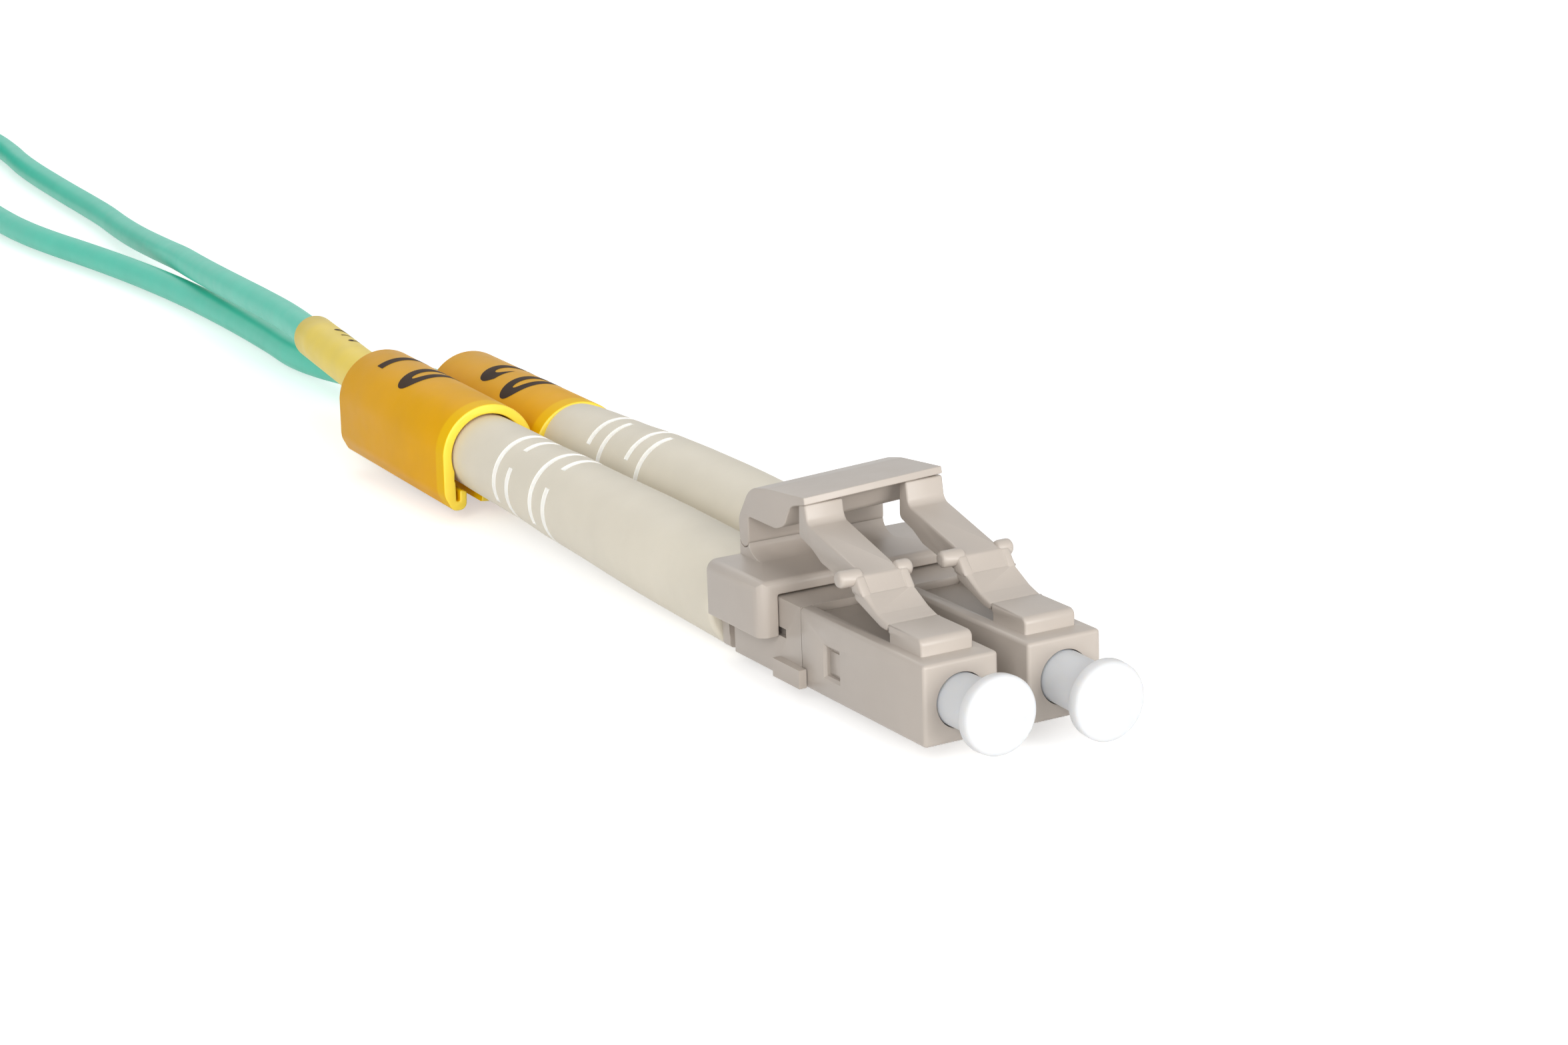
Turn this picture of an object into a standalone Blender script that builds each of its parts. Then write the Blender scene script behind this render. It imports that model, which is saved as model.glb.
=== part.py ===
# A duplex fibre patch cord: two plugs in a clip with one trigger, at each end of a two-leg cord.
# Metres, +Z up. Along a plug, y runs rearwards from the housing's front face and z up from its axis.
# The near end stands at the origin, its plugs pointing to -Y. The far end faces the other way.

import math

import bmesh
import bpy
from mathutils import Matrix, Vector

# Fits
fit_gap = 0.00004              # between seated pieces that don't move on each other
hinge_gap = 0.00004            # round a hinge knuckle
latch_rest_gap = 0.00005       # between the trigger's lip and the latch tips at rest
overshoot = 0.0004             # how far a cutter or a joined form runs past a face

# The pair
plug_pitch = 0.00625
far_face = 0.3920              # from the near plugs' front faces to the far plugs' front faces
far_offset = 0.0043            # the far plugs' sideways place

# Front housing
housing_width = 0.00446
housing_height = 0.00436
housing_length = 0.01205
housing_corner = 0.00030       # bevel of the front face's upright edges
front_bore = 0.0031
front_bore_depth = 0.0052
shoulder_thickness = 0.0010
shoulder_hole = 0.0017
cavity_bore = 0.0030
window_start = 0.0083
window_length = 0.0014
window_height = 0.0016
window_drop = 0.00015          # the window's centre below the plug's axis
trough_width = 0.0030
trough_depth = 0.00045
trough_corner = 0.00025

# Latch block on the housing, and the latch arm hinged in it
latch_width = 0.0031
block_start = 0.00125
block_length = 0.0031
block_rise = 0.00082
block_corner = 0.00025
block_lip = 0.0001             # how far the block's upper rear edge stands over its foot
block_lip_depth = 0.0004
latch_neck = 0.00035           # from the block's rear face to the latch's pivot
latch_pivot_rise = 0.00077     # from the housing's top to the latch's pivot
latch_root = 0.0005            # the arm's thickness at its root
arm_length = 0.0092
arm_tip_rise = 0.00441
arm_tip_thickness = 0.00075
arm_tip_foot_rise = 0.0025
step_foot = 0.00205
step_foot_rise = 0.0011
step_top = 0.00275
step_top_rise = 0.00192
tail_width = 0.00235
tail_top_rise = 0.0034
ear_span = 0.0044
ear_place = 0.0032
ear_rise = 0.0018
ear_radius = 0.00045
ear_lead = 0.0012              # how far an ear tapers forwards along the arm

# Ferrule, its holder and its spring
ferrule_diameter = 0.00125
ferrule_reach = 0.0008         # in front of the housing's face
ferrule_chamfer = 0.00012
ferrule_seat = 0.0011          # inside its holder
holder_flange = 0.0023
holder_flange_length = 0.0018
holder_tail = 0.0013
holder_tail_length = 0.0025
holder_tail_bore = 0.0010
spring_wire = 0.00025
spring_outer = 0.0023
spring_pocket_depth = 0.0081   # from the rear body's front sleeve to the pocket's floor
spring_turns = 6

# Rear body
sleeve_outer = 0.0029
sleeve_bore = 0.0025
sleeve_length = 0.0052         # in front of the seam
lug_play = 0.0002              # round the lugs, in the housing's windows
body_length = 0.0073
groove_width = 0.0006
groove_depth = 0.0003
rib_width = 0.0008
rib_corner = 0.0009
buffer_bore = 0.0014
stub_diameter = 0.0026
stub_length = 0.0037
stub_barb = 0.00012
stub_barbs = 4
tab_length = 0.0023            # behind the seam
tab_lead = 0.0005              # in front of the seam
tab_height = 0.00103
tab_drop = 0.0011              # from the plug's axis to the tab's top
tab_reach = 0.0005

# Crimp sleeve, buffered fibre and cord
crimp_outer = 0.0033
crimp_bore = 0.0027
crimp_length = 0.0068
crimp_neck_length = 0.0024
crimp_neck_outer = 0.0029
crimp_neck_play = 0.00012      # round the cord
buffer_diameter = 0.0009
buffer_lead = 0.0010           # from the holder's tail to the buffered fibre's front end
cord_diameter = 0.0022
cord_start_gap = 0.0003
cord_floor_gap = 0.0001        # under a leg that lies on the surface

# Boot, on an axis that tilts up behind the rear body
tail_tilts = {"a": math.radians(1.72), "b": math.radians(0.95)}
boot_length = 0.0411
boot_front_diameter = 0.00586
boot_front_length = 0.0091
boot_rear_diameter = 0.0049
boot_rear_length = 0.0140      # the last stretch, which barely tapers
boot_slotted_diameter = 0.00532
boot_edge = 0.00025
boot_crimp_bore = 0.0041
boot_crimp_depth = 0.0081
boot_bore_taper = 0.0050
boot_bore = 0.0025
slot_first = 0.0211            # from the boot's front to its first ring of slots
slot_pair = 0.0018             # from a ring to the next ring of its pair
slot_step = 0.0053             # from a pair to the next pair
slot_width = 0.0004
slot_depth = 0.0007
slot_bridge = math.radians(30)
slot_turn_a = math.radians(133)
slot_turn_b = math.radians(75)

# Dust cap
cap_head_diameter = 0.0042
cap_head_thickness = 0.0009
cap_head_edge = 0.00035
cap_gap = 0.0026               # from the housing's face to the back of the cap's head
cap_flare = 0.0007
cap_play = 0.0001              # round the cap's stem, in the housing's bore
cap_stem_depth = 0.0046
cap_bore_play = 0.0001         # round the ferrule
cap_bore_end_gap = 0.0005      # in front of the ferrule's tip

# Marker clip, a C on the boot with a hooked lip
marker_start = 0.0342          # from the boot's front
marker_length = 0.0168
marker_inner = 0.00524
marker_wall = 0.00056
marker_shift = 0.0001          # each marker's play on its boot, taken up away from its twin
marker_hook_drop = 0.00347
marker_hook_width = 0.00095
marker_slit = math.radians(12)

# Duplex clip
clip_wall = 0.00120
clip_lead = 0.00161            # from the seam to the clip's front edge
clip_length = 0.0064
clip_top_thickness = 0.00088
clip_skirt = 0.0              # height of the side walls' lower edges over the plug axes
clip_web_drop = 0.0005
clip_corner = 0.0006
clip_front_corner = 0.0008
clip_rib_height = 0.00042
clip_rib_reach = 0.00027
clip_rib_rise = 0.0003
clip_rib_play = 0.0002
post_thickness = 0.0010
post_foot = 0.0014             # how far the post's front flares out on the clip's top

# Trigger
trigger_width = 0.0089
knuckle_radius = 0.0005
trigger_pivot_rise = 0.0010    # over the clip's top
trigger_back_rise = 0.0009
crown_forward = 0.0015
crown_rise = 0.0031
lip_overhang = 0.00085
lip_thickness = 0.00038
trigger_corner = 0.00035
trigger_neck_rise = 0.0013
trigger_web_forward = 0.0037
trigger_web_rise = 0.0014

# Label and the folded spare length
label_start = 0.0713           # from the near plugs' front faces
label_length = 0.0186
label_wall = 0.00027
label_play = 0.00020
hank_start = 0.2250
hank_length = 0.0558
hank_width = 0.0202
hank_height = 0.0132
tie_width = 0.0060
tie_thickness = 0.0008
tie_play = 0.00005

# Facets
near_segments = 24
far_segments = 12
marker_segments = 24
fillet_steps = 3

# Worked out from the sizes above
tail_width_half = tail_width / 2
seam = housing_length + fit_gap
housing_top = housing_height / 2
latch_pivot = (block_start + block_length + latch_neck, housing_top + latch_pivot_rise)
latch_tip = (latch_pivot[0] + arm_length, latch_pivot[1] + arm_tip_rise)
flange_front = front_bore_depth + shoulder_thickness + fit_gap
flange_rear = flange_front + holder_flange_length
sleeve_front = seam - sleeve_length
pocket_floor = sleeve_front + spring_pocket_depth
holder_end = flange_rear + holder_tail_length
body_rear = seam + body_length
rib_front = body_rear + groove_width
rib_rear = rib_front + rib_width
stub_end = rib_rear + stub_length
tail_start = rib_rear + 2 * fit_gap
crimp_start = rib_rear + cord_start_gap
crimp_end = crimp_start + crimp_length
cord_start = stub_end + 2 * cord_start_gap
clip_front = seam + clip_lead
clip_rear = clip_front + clip_length
clip_top = housing_top + fit_gap + clip_top_thickness
clip_inner = plug_pitch / 2 + housing_width / 2 + fit_gap
clip_outer = clip_inner + clip_wall
web_half = plug_pitch / 2 - housing_width / 2 - fit_gap
trigger_pivot = (clip_rear - post_thickness / 2, clip_top + trigger_pivot_rise)
boot_radius = boot_front_diameter / 2
marker_outer_radius = marker_inner / 2 + marker_wall
cap_front = -cap_gap - cap_head_thickness
most_tilt, least_tilt = max(tail_tilts.values()), min(tail_tilts.values())
tail_end = tail_start + (marker_start + marker_length) * math.cos(most_tilt)
near_rear = tail_end + marker_hook_drop * math.sin(most_tilt)
axis_height = boot_radius * math.cos(least_tilt)
face_place = -(cap_front + near_rear) / 2
cord_radius = cord_diameter / 2
on_floor = cord_radius + cord_floor_gap - axis_height

white = (0.86, 0.83, 0.77)
cream = (0.81, 0.77, 0.68)
amber = (0.80, 0.42, 0.03)
lemon = (0.75, 0.63, 0.13)
aqua = (0.18, 0.56, 0.45)
clear_white = (0.90, 0.90, 0.88)
zirconia = (0.88, 0.88, 0.86)
steel = (0.55, 0.55, 0.56)
nickel = (0.62, 0.60, 0.55)
black = (0.03, 0.03, 0.03)

for item in list(bpy.data.objects):
    bpy.data.objects.remove(item, do_unlink=True)

parts = bpy.data.collections.new("fiber_patch_cord")
helpers = bpy.data.collections.new("cutters")
bpy.context.scene.collection.children.link(parts)
bpy.context.scene.collection.children.link(helpers)
helpers.hide_render = True

# Ways to turn an outline's plane or a turned form's axis into the plug's frame
along_x = Matrix(((0, 0, 1, 0), (1, 0, 0, 0), (0, 1, 0, 0), (0, 0, 0, 1)))
along_y = Matrix.Rotation(math.radians(90), 4, "X")
along_z = Matrix.Identity(4)
turned = (math.radians(-90), 0, 0)


def material(name, colour, roughness, metallic=0.0):
    made = bpy.data.materials.new(name)
    made.use_nodes = True
    shader = made.node_tree.nodes["Principled BSDF"]
    shader.inputs["Base Color"].default_value = (*colour, 1)
    shader.inputs["Roughness"].default_value = roughness
    shader.inputs["Metallic"].default_value = metallic
    return made


def add_empty(name, location, turn=0.0):
    empty = bpy.data.objects.new(name, None)
    parts.objects.link(empty)
    empty.location = location
    empty.rotation_euler = (0, 0, turn)
    empty.empty_display_size = plug_pitch
    return empty


def add_object(name, data, parent, location=(0, 0, 0), rotation=(0, 0, 0)):
    made = bpy.data.objects.new(name, data)
    parts.objects.link(made)
    made.parent = parent
    made.location = location
    made.rotation_euler = rotation
    return made


def finish(made, name, colour, roughness, metallic=0.0):
    made.name = name
    made.data.name = name
    made.data.materials.clear()
    made.data.materials.append(material(name, colour, roughness, metallic))
    return made


def combine(target, other, operation="DIFFERENCE"):
    modifier = target.modifiers.new(operation.lower(), "BOOLEAN")
    modifier.operation = operation
    modifier.solver = "EXACT"
    modifier.object = other
    parts.objects.unlink(other)
    helpers.objects.link(other)
    other.hide_render = True
    other.display_type = "WIRE"


def rounded(points):
    """An outline's points, where a third value is the radius of the arc that rounds that corner."""
    result = []
    for place, point in enumerate(points):
        corner = Vector(point[:2])
        if len(point) == 2:
            result.append(corner)
            continue
        before = Vector(points[place - 1][:2]) - corner
        after = Vector(points[(place + 1) % len(points)][:2]) - corner
        half = before.angle(after) / 2
        reach = min(point[2] / math.tan(half), 0.48 * before.length, 0.48 * after.length)
        radius = reach * math.tan(half)
        centre = corner + (before.normalized() + after.normalized()).normalized() * radius / math.sin(half)
        first = corner + before.normalized() * reach - centre
        last = corner + after.normalized() * reach - centre
        start = math.atan2(first.y, first.x)
        sweep = math.remainder(math.atan2(last.y, last.x) - start, 2 * math.pi)
        for step in range(fillet_steps + 1):
            angle = start + sweep * step / fillet_steps
            result.append(centre + radius * Vector((math.cos(angle), math.sin(angle))))
    return result


def arc(centre, radius, start, end, steps):
    """Points of an arc, its angles in degrees."""
    result = []
    for step in range(steps + 1):
        angle = math.radians(start + (end - start) * step / steps)
        result.append((centre[0] + radius * math.cos(angle), centre[1] + radius * math.sin(angle)))
    return result


def flat_mesh(outline, frame, low, high):
    """A closed mesh: an outline filled and extruded from low to high along the frame's third axis."""
    curve = bpy.data.curves.new("outline", "CURVE")
    curve.dimensions = "2D"
    curve.fill_mode = "BOTH"
    curve.extrude = (high - low) / 2
    spline = curve.splines.new("POLY")
    spline.points.add(len(outline) - 1)
    for point, place in zip(spline.points, outline):
        point.co = (place[0], place[1], 0, 1)
    spline.use_cyclic_u = True
    mesh = mesh_of(curve)
    mesh.transform(frame @ Matrix.Translation((0, 0, (low + high) / 2)))
    return mesh


def mesh_of(curve):
    """The curve's mesh, its caps welded and its faces turned outwards."""
    guide = bpy.data.objects.new("guide", curve)
    parts.objects.link(guide)
    graph = bpy.context.evaluated_depsgraph_get()
    mesh = bpy.data.meshes.new_from_object(guide.evaluated_get(graph))
    bpy.data.objects.remove(guide, do_unlink=True)
    cleaned(mesh)
    return mesh


def cleaned(mesh):
    form = bmesh.new()
    form.from_mesh(mesh)
    bmesh.ops.remove_doubles(form, verts=form.verts, dist=1e-7)
    bmesh.ops.recalc_face_normals(form, faces=form.faces)
    form.to_mesh(mesh)
    form.free()


def flat(outline, frame, low, high, parent, location=(0, 0, 0), rotation=(0, 0, 0)):
    # The frame along Y turns the outline's third axis to -Y.
    if frame is along_y:
        low, high = -high, -low
    return add_object("flat", flat_mesh(outline, frame, low, high), parent, location, rotation)


def box(low, high, parent):
    """A box between two corners."""
    form = bmesh.new()
    bmesh.ops.create_cube(form, size=1)
    low, high = Vector(low), Vector(high)
    bmesh.ops.scale(form, vec=high - low, verts=form.verts)
    bmesh.ops.translate(form, vec=(low + high) / 2, verts=form.verts)
    mesh = bpy.data.meshes.new("box")
    form.to_mesh(mesh)
    form.free()
    return add_object("box", mesh, parent)


def joined_boxes(corners, parent):
    """Several separate boxes as one helper."""
    form = bmesh.new()
    for low, high in corners:
        low, high = Vector(low), Vector(high)
        place = Matrix.LocRotScale((low + high) / 2, None, high - low)
        bmesh.ops.create_cube(form, size=1, matrix=place)
    mesh = bpy.data.meshes.new("boxes")
    form.to_mesh(mesh)
    form.free()
    return add_object("boxes", mesh, parent)


def lathe(profile, segments, parent, location=(0, 0, 0), closed=False, tilt=0.0):
    """A turned form. Its profile holds (radius, y) points, and its outer side runs from rear to front."""
    mesh = bpy.data.meshes.new("profile")
    edges = [(place, place + 1) for place in range(len(profile) - 1)]
    if closed:
        edges.append((len(profile) - 1, 0))
    mesh.from_pydata([(radius, 0, y) for radius, y in profile], edges, [])
    made = add_object("turned", mesh, parent, location, (turned[0] + tilt, 0, 0))
    screw = made.modifiers.new("turn", "SCREW")
    screw.steps = segments
    screw.render_steps = segments
    screw.use_merge_vertices = True
    screw.merge_threshold = 1e-6
    return made


def bevel_marked(made, width, steps, test):
    """Rounds the edges for whose ends the test holds."""
    form = bmesh.new()
    form.from_mesh(made.data)
    weight = form.edges.layers.float.new("bevel_weight_edge")
    for edge in form.edges:
        if test(edge.verts[0].co, edge.verts[1].co):
            edge[weight] = 1
    form.to_mesh(made.data)
    form.free()
    modifier = made.modifiers.new("edges", "BEVEL")
    modifier.limit_method = "WEIGHT"
    modifier.width = width
    modifier.segments = steps


def front_housing(name, plug):
    half = housing_width / 2
    made = box((-half, 0, -housing_top), (half, housing_length, housing_top), plug)

    def on_front_or_long(first, second):
        upright = abs(first.x - second.x) < fit_gap and first.y < fit_gap and second.y < fit_gap
        return upright or abs(first.y - second.y) > housing_length / 2

    bevel_marked(made, housing_corner, 2, on_front_or_long)
    trough_half = trough_width / 2
    trough_floor = housing_top - trough_depth
    above = housing_top + overshoot
    trough = rounded([
        (-trough_half, above), (-trough_half, trough_floor, trough_corner),
        (trough_half, trough_floor, trough_corner), (trough_half, above),
    ])
    block_rear = block_start + block_length
    rear = housing_length + overshoot
    combine(made, flat(trough, along_y, block_rear, rear, plug))
    block_top = housing_top + block_rise
    inside = housing_top - overshoot
    lip_foot = block_top - block_lip_depth
    block = rounded([
        (block_start, inside), (block_start, block_top, block_corner),
        (block_rear + block_lip, block_top), (block_rear + block_lip, lip_foot),
        (block_rear, lip_foot - block_lip), (block_rear, inside),
    ])
    combine(made, flat(block, along_x, -latch_width / 2, latch_width / 2, plug), "UNION")
    socket_radius = latch_root / 2 + hinge_gap
    socket = arc(latch_pivot, socket_radius, 0, 360, near_segments)[:-1]
    reach = latch_width / 2 + overshoot
    combine(made, flat(socket, along_x, -reach, reach, plug))
    window_low = -window_drop - window_height / 2
    window_high = -window_drop + window_height / 2
    window = box(
        (-half - overshoot, window_start, window_low),
        (half + overshoot, window_start + window_length, window_high), plug)
    combine(made, window)
    cavity_start = front_bore_depth + shoulder_thickness
    bore = lathe([
        (0, rear), (cavity_bore / 2, rear), (cavity_bore / 2, cavity_start),
        (shoulder_hole / 2, cavity_start), (shoulder_hole / 2, front_bore_depth),
        (front_bore / 2, front_bore_depth), (front_bore / 2, -overshoot), (0, -overshoot),
    ], near_segments if "far" not in name else far_segments, plug)
    combine(made, bore)
    return finish(made, name, white, 0.35)


def latch_arm(name, plug):
    """The latch, its origin on its hinge at the block."""
    root = latch_root / 2
    tip_front = arm_length - arm_tip_thickness
    side = rounded([
        (0, root), (0.6 * 0.001, 0.35 * 0.001, 0.0008), (step_foot, step_foot_rise, 0.0003),
        (step_top, step_top_rise, 0.00025), (tip_front - 0.0002, tail_top_rise, 0.0006),
        (tip_front, arm_tip_rise, 0.00012), (arm_length - 0.00005, arm_tip_rise, 0.0003),
        (arm_length, arm_tip_foot_rise, 0.0004), (0.0079, 0.0021, 0.0005), (0.0069, 0.00155, 0.0005),
        (0.0039, 0.0009, 0.0005), (0.0005, -0.0002, 0.0005), (0, -root),
    ])
    side += arc((0, 0), root, 270, 90, 8)[1:-1]
    half = latch_width / 2
    pivot = (0, latch_pivot[0], latch_pivot[1])
    made = flat(side, along_x, -half, half, plug, pivot)
    behind = arm_length + overshoot
    ahead = -root - overshoot
    plan = rounded([
        (-half - overshoot, ahead), (half + overshoot, ahead), (half + overshoot, step_top),
        (tail_width_half, step_top + overshoot, 0.0002), (tail_width_half, behind),
        (-tail_width_half, behind), (-tail_width_half, step_top + overshoot, 0.0002),
        (-half - overshoot, step_top),
    ])
    low, high = -0.001, arm_tip_rise + overshoot
    combine(made, flat(plan, along_z, low, high, plug, pivot), "INTERSECT")
    ear_half = ear_span / 2
    ear_side = rounded([
        (ear_place - ear_lead, ear_rise - 0.0008), (ear_place - 0.0003, ear_rise + ear_radius, 0.0003),
        (ear_place + ear_radius, ear_rise + ear_radius, ear_radius),
        (ear_place + ear_radius, ear_rise - ear_radius, ear_radius),
        (ear_place - 0.0003, ear_rise - ear_radius - 0.0001, 0.0003),
    ])
    ears = flat(ear_side, along_x, -ear_half, ear_half, plug, pivot)
    ear_plan = rounded([
        (-half + 0.0001, ear_place - ear_lead - overshoot), (half - 0.0001, ear_place - ear_lead - overshoot),
        (ear_half, ear_place - 0.0002, 0.0004), (ear_half, ear_place + 0.0006, 0.0003),
        (-ear_half, ear_place + 0.0006, 0.0003), (-ear_half, ear_place - 0.0002, 0.0004),
    ])
    combine(ears, flat(ear_plan, along_z, low, high, plug, pivot), "INTERSECT")
    combine(made, ears, "UNION")
    return finish(made, name, white, 0.35)


def ferrule(name, plug, segments):
    radius = ferrule_diameter / 2
    rear = flange_front + ferrule_seat - fit_gap
    made = lathe([
        (0, rear), (radius, rear), (radius, ferrule_chamfer - ferrule_reach),
        (radius - ferrule_chamfer, -ferrule_reach), (0, -ferrule_reach),
    ], segments, plug)
    return finish(made, name, zirconia, 0.15)


def ferrule_holder(name, plug, segments):
    seat_radius = ferrule_diameter / 2 + fit_gap
    seat_floor = flange_front + ferrule_seat
    tail_floor = flange_rear + spring_wire
    made = lathe([
        (0, tail_floor), (holder_tail_bore / 2, tail_floor), (holder_tail_bore / 2, holder_end),
        (holder_tail / 2, holder_end), (holder_tail / 2, flange_rear), (holder_flange / 2, flange_rear),
        (holder_flange / 2, flange_front + ferrule_chamfer),
        (holder_flange / 2 - ferrule_chamfer, flange_front), (seat_radius, flange_front),
        (seat_radius, seat_floor), (0, seat_floor),
    ], segments, plug)
    return finish(made, name, nickel, 0.3, 1.0)


def spring(name, plug, points_a_turn):
    curve = bpy.data.curves.new(name, "CURVE")
    curve.dimensions = "3D"
    curve.bevel_depth = spring_wire / 2
    curve.bevel_resolution = 0
    curve.use_fill_caps = True
    count = spring_turns * points_a_turn
    radius = (spring_outer - spring_wire) / 2
    first = flange_rear + spring_wire / 2 + fit_gap
    last = pocket_floor - spring_wire / 2 - fit_gap
    spline = curve.splines.new("POLY")
    spline.points.add(count)
    for step, point in enumerate(spline.points):
        angle = 2 * math.pi * step / points_a_turn
        y = first + (last - first) * step / count
        point.co = (radius * math.cos(angle), y, radius * math.sin(angle), 1)
    made = add_object(name, mesh_of(curve), plug)
    return finish(made, name, steel, 0.25, 1.0)


def rear_body(name, plug, segments):
    half = housing_width / 2
    made = box((-half, seam, -housing_top), (half, body_rear, housing_top), plug)
    inner_half = half - groove_depth
    inner_top = housing_top - groove_depth
    neck = box(
        (-inner_half, body_rear - overshoot, -inner_top), (inner_half, rib_front + overshoot, inner_top), plug)
    combine(made, neck, "UNION")
    rib = rounded([
        (-half, housing_top), (-half, -housing_top, rib_corner), (half, -housing_top, rib_corner),
        (half, housing_top),
    ])
    combine(made, flat(rib, along_y, rib_front, rib_rear, plug), "UNION")
    tab_low = -tab_drop - tab_height
    outer = half + tab_reach
    lip = half + fit_gap
    front = seam - tab_lead
    lug_low = -window_drop - window_height / 2 + lug_play
    lug_high = -window_drop + window_height / 2 - lug_play
    lug_front = window_start + lug_play
    lug_rear = window_start + window_length - lug_play
    lug_half = half - fit_gap - lug_play
    for side in (-1, 1):
        inner = side * (half - overshoot)
        low_x, high_x = sorted((inner, side * outer))
        tab = box((low_x, seam, tab_low), (high_x, seam + tab_length, -tab_drop), plug)
        combine(made, tab, "UNION")
        low_x, high_x = sorted((side * lip, side * outer))
        lead = box((low_x, front, tab_low), (high_x, seam + overshoot, -tab_drop), plug)
        combine(made, lead, "UNION")
    profile = [(0, stub_end), (stub_diameter / 2 - stub_barb, stub_end)]
    barb_step = stub_length / stub_barbs
    for barb in range(stub_barbs):
        rear = stub_end - barb * barb_step
        profile.append((stub_diameter / 2, rear - barb_step * 0.6))
        profile.append((stub_diameter / 2 - stub_barb, rear - barb_step * 0.9))
    profile += [
        (stub_diameter / 2 - stub_barb, seam + overshoot), (sleeve_outer / 2, seam + overshoot),
        (sleeve_outer / 2, sleeve_front), (0, sleeve_front),
    ]
    combine(made, lathe(profile, segments, plug), "UNION")
    lugs = box((-lug_half, lug_front, lug_low), (lug_half, lug_rear, lug_high), plug)
    combine(made, lugs, "UNION")
    bore = lathe([
        (0, stub_end + overshoot), (buffer_bore / 2, stub_end + overshoot), (buffer_bore / 2, pocket_floor),
        (sleeve_bore / 2, pocket_floor), (sleeve_bore / 2, sleeve_front - overshoot),
        (0, sleeve_front - overshoot),
    ], segments, plug)
    combine(made, bore)
    groove_low = clip_rib_rise - clip_rib_height / 2 - fit_gap
    groove_high = clip_rib_rise + clip_rib_height / 2 + fit_gap
    grooves = joined_boxes([
        ((low_x, clip_front, groove_low), (high_x, body_rear + overshoot, groove_high))
        for low_x, high_x in ((-half - overshoot, -inner_half), (inner_half, half + overshoot))
    ], plug)
    combine(made, grooves)
    return finish(made, name, white, 0.35)


def crimp_sleeve(name, plug, segments):
    neck_bore = cord_radius + crimp_neck_play
    neck_start = crimp_end - crimp_neck_length
    slope = (crimp_outer - crimp_neck_outer) / 2
    made = lathe([
        (neck_bore, crimp_end), (crimp_neck_outer / 2, crimp_end), (crimp_neck_outer / 2, neck_start + slope),
        (crimp_outer / 2, neck_start - slope), (crimp_outer / 2, crimp_start), (crimp_bore / 2, crimp_start),
        (crimp_bore / 2, stub_end + fit_gap), (neck_bore, stub_end + cord_start_gap),
    ], segments, plug, closed=True)
    return finish(made, name, nickel, 0.35, 1.0)


def buffered_fibre(name, plug, segments):
    front = holder_end + buffer_lead
    rear = cord_start - cord_start_gap
    radius = buffer_diameter / 2
    made = lathe([(0, rear), (radius, rear), (radius, front), (0, front)], segments, plug)
    return finish(made, name, clear_white, 0.5)


def boot_radius_at(place):
    """The boot's outer radius at a distance from its front."""
    rear_from = boot_length - boot_rear_length
    ends = [
        (0, boot_front_diameter / 2), (boot_front_length, boot_front_diameter / 2),
        (slot_first + slot_pair / 2, boot_slotted_diameter / 2 + slot_depth / 10),
        (rear_from, boot_slotted_diameter / 2 - slot_depth / 10), (boot_length, boot_rear_diameter / 2),
    ]
    for (start, start_radius), (end, end_radius) in zip(ends, ends[1:]):
        if place <= end:
            share = (place - start) / (end - start)
            return start_radius + (end_radius - start_radius) * share
    return ends[-1][1]


def slot_rings():
    return [slot_first + pair * slot_step + ring * slot_pair for pair in (0, 1) for ring in (0, 1)]


def boot(name, plug, segments, turn, tilt):
    """The boot, its origin at its front on the plug's axis."""
    rear_from = boot_length - boot_rear_length
    stations = [rear_from, slot_first + slot_pair / 2, boot_front_length]
    profile = [
        (boot_bore / 2, boot_length), (boot_radius_at(boot_length) - boot_edge, boot_length),
        (boot_radius_at(boot_length), boot_length - boot_edge),
    ]
    profile += [(boot_radius_at(place), place) for place in stations]
    profile += [
        (boot_radius, boot_edge), (boot_radius - boot_edge, 0), (boot_crimp_bore / 2, 0),
        (boot_crimp_bore / 2, boot_crimp_depth), (boot_bore / 2, boot_crimp_depth + boot_bore_taper),
    ]
    place = (0, tail_start, 0)
    made = lathe(profile, segments, plug, place, True, tilt)
    form = bmesh.new()
    steps = segments // 4
    for ring, y in enumerate(slot_rings()):
        inner = boot_radius_at(y) - slot_depth
        outer = boot_radius + overshoot
        centre = turn + (ring % 2) * math.pi / 2
        for side in (0, math.pi):
            start = math.degrees(centre + side + slot_bridge / 2)
            end = math.degrees(centre + side + math.pi - slot_bridge / 2)
            band = arc((0, 0), outer, start, end, steps) + arc((0, 0), inner, end, start, steps)
            mesh = flat_mesh(band, along_y, -y - slot_width / 2, -y + slot_width / 2)
            form.from_mesh(mesh)
            bpy.data.meshes.remove(mesh)
    slots = bpy.data.meshes.new("slots")
    form.to_mesh(slots)
    form.free()
    combine(made, add_object("slots", slots, plug, place, (tilt, 0, 0)))
    return finish(made, name, cream, 0.5)


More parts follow.
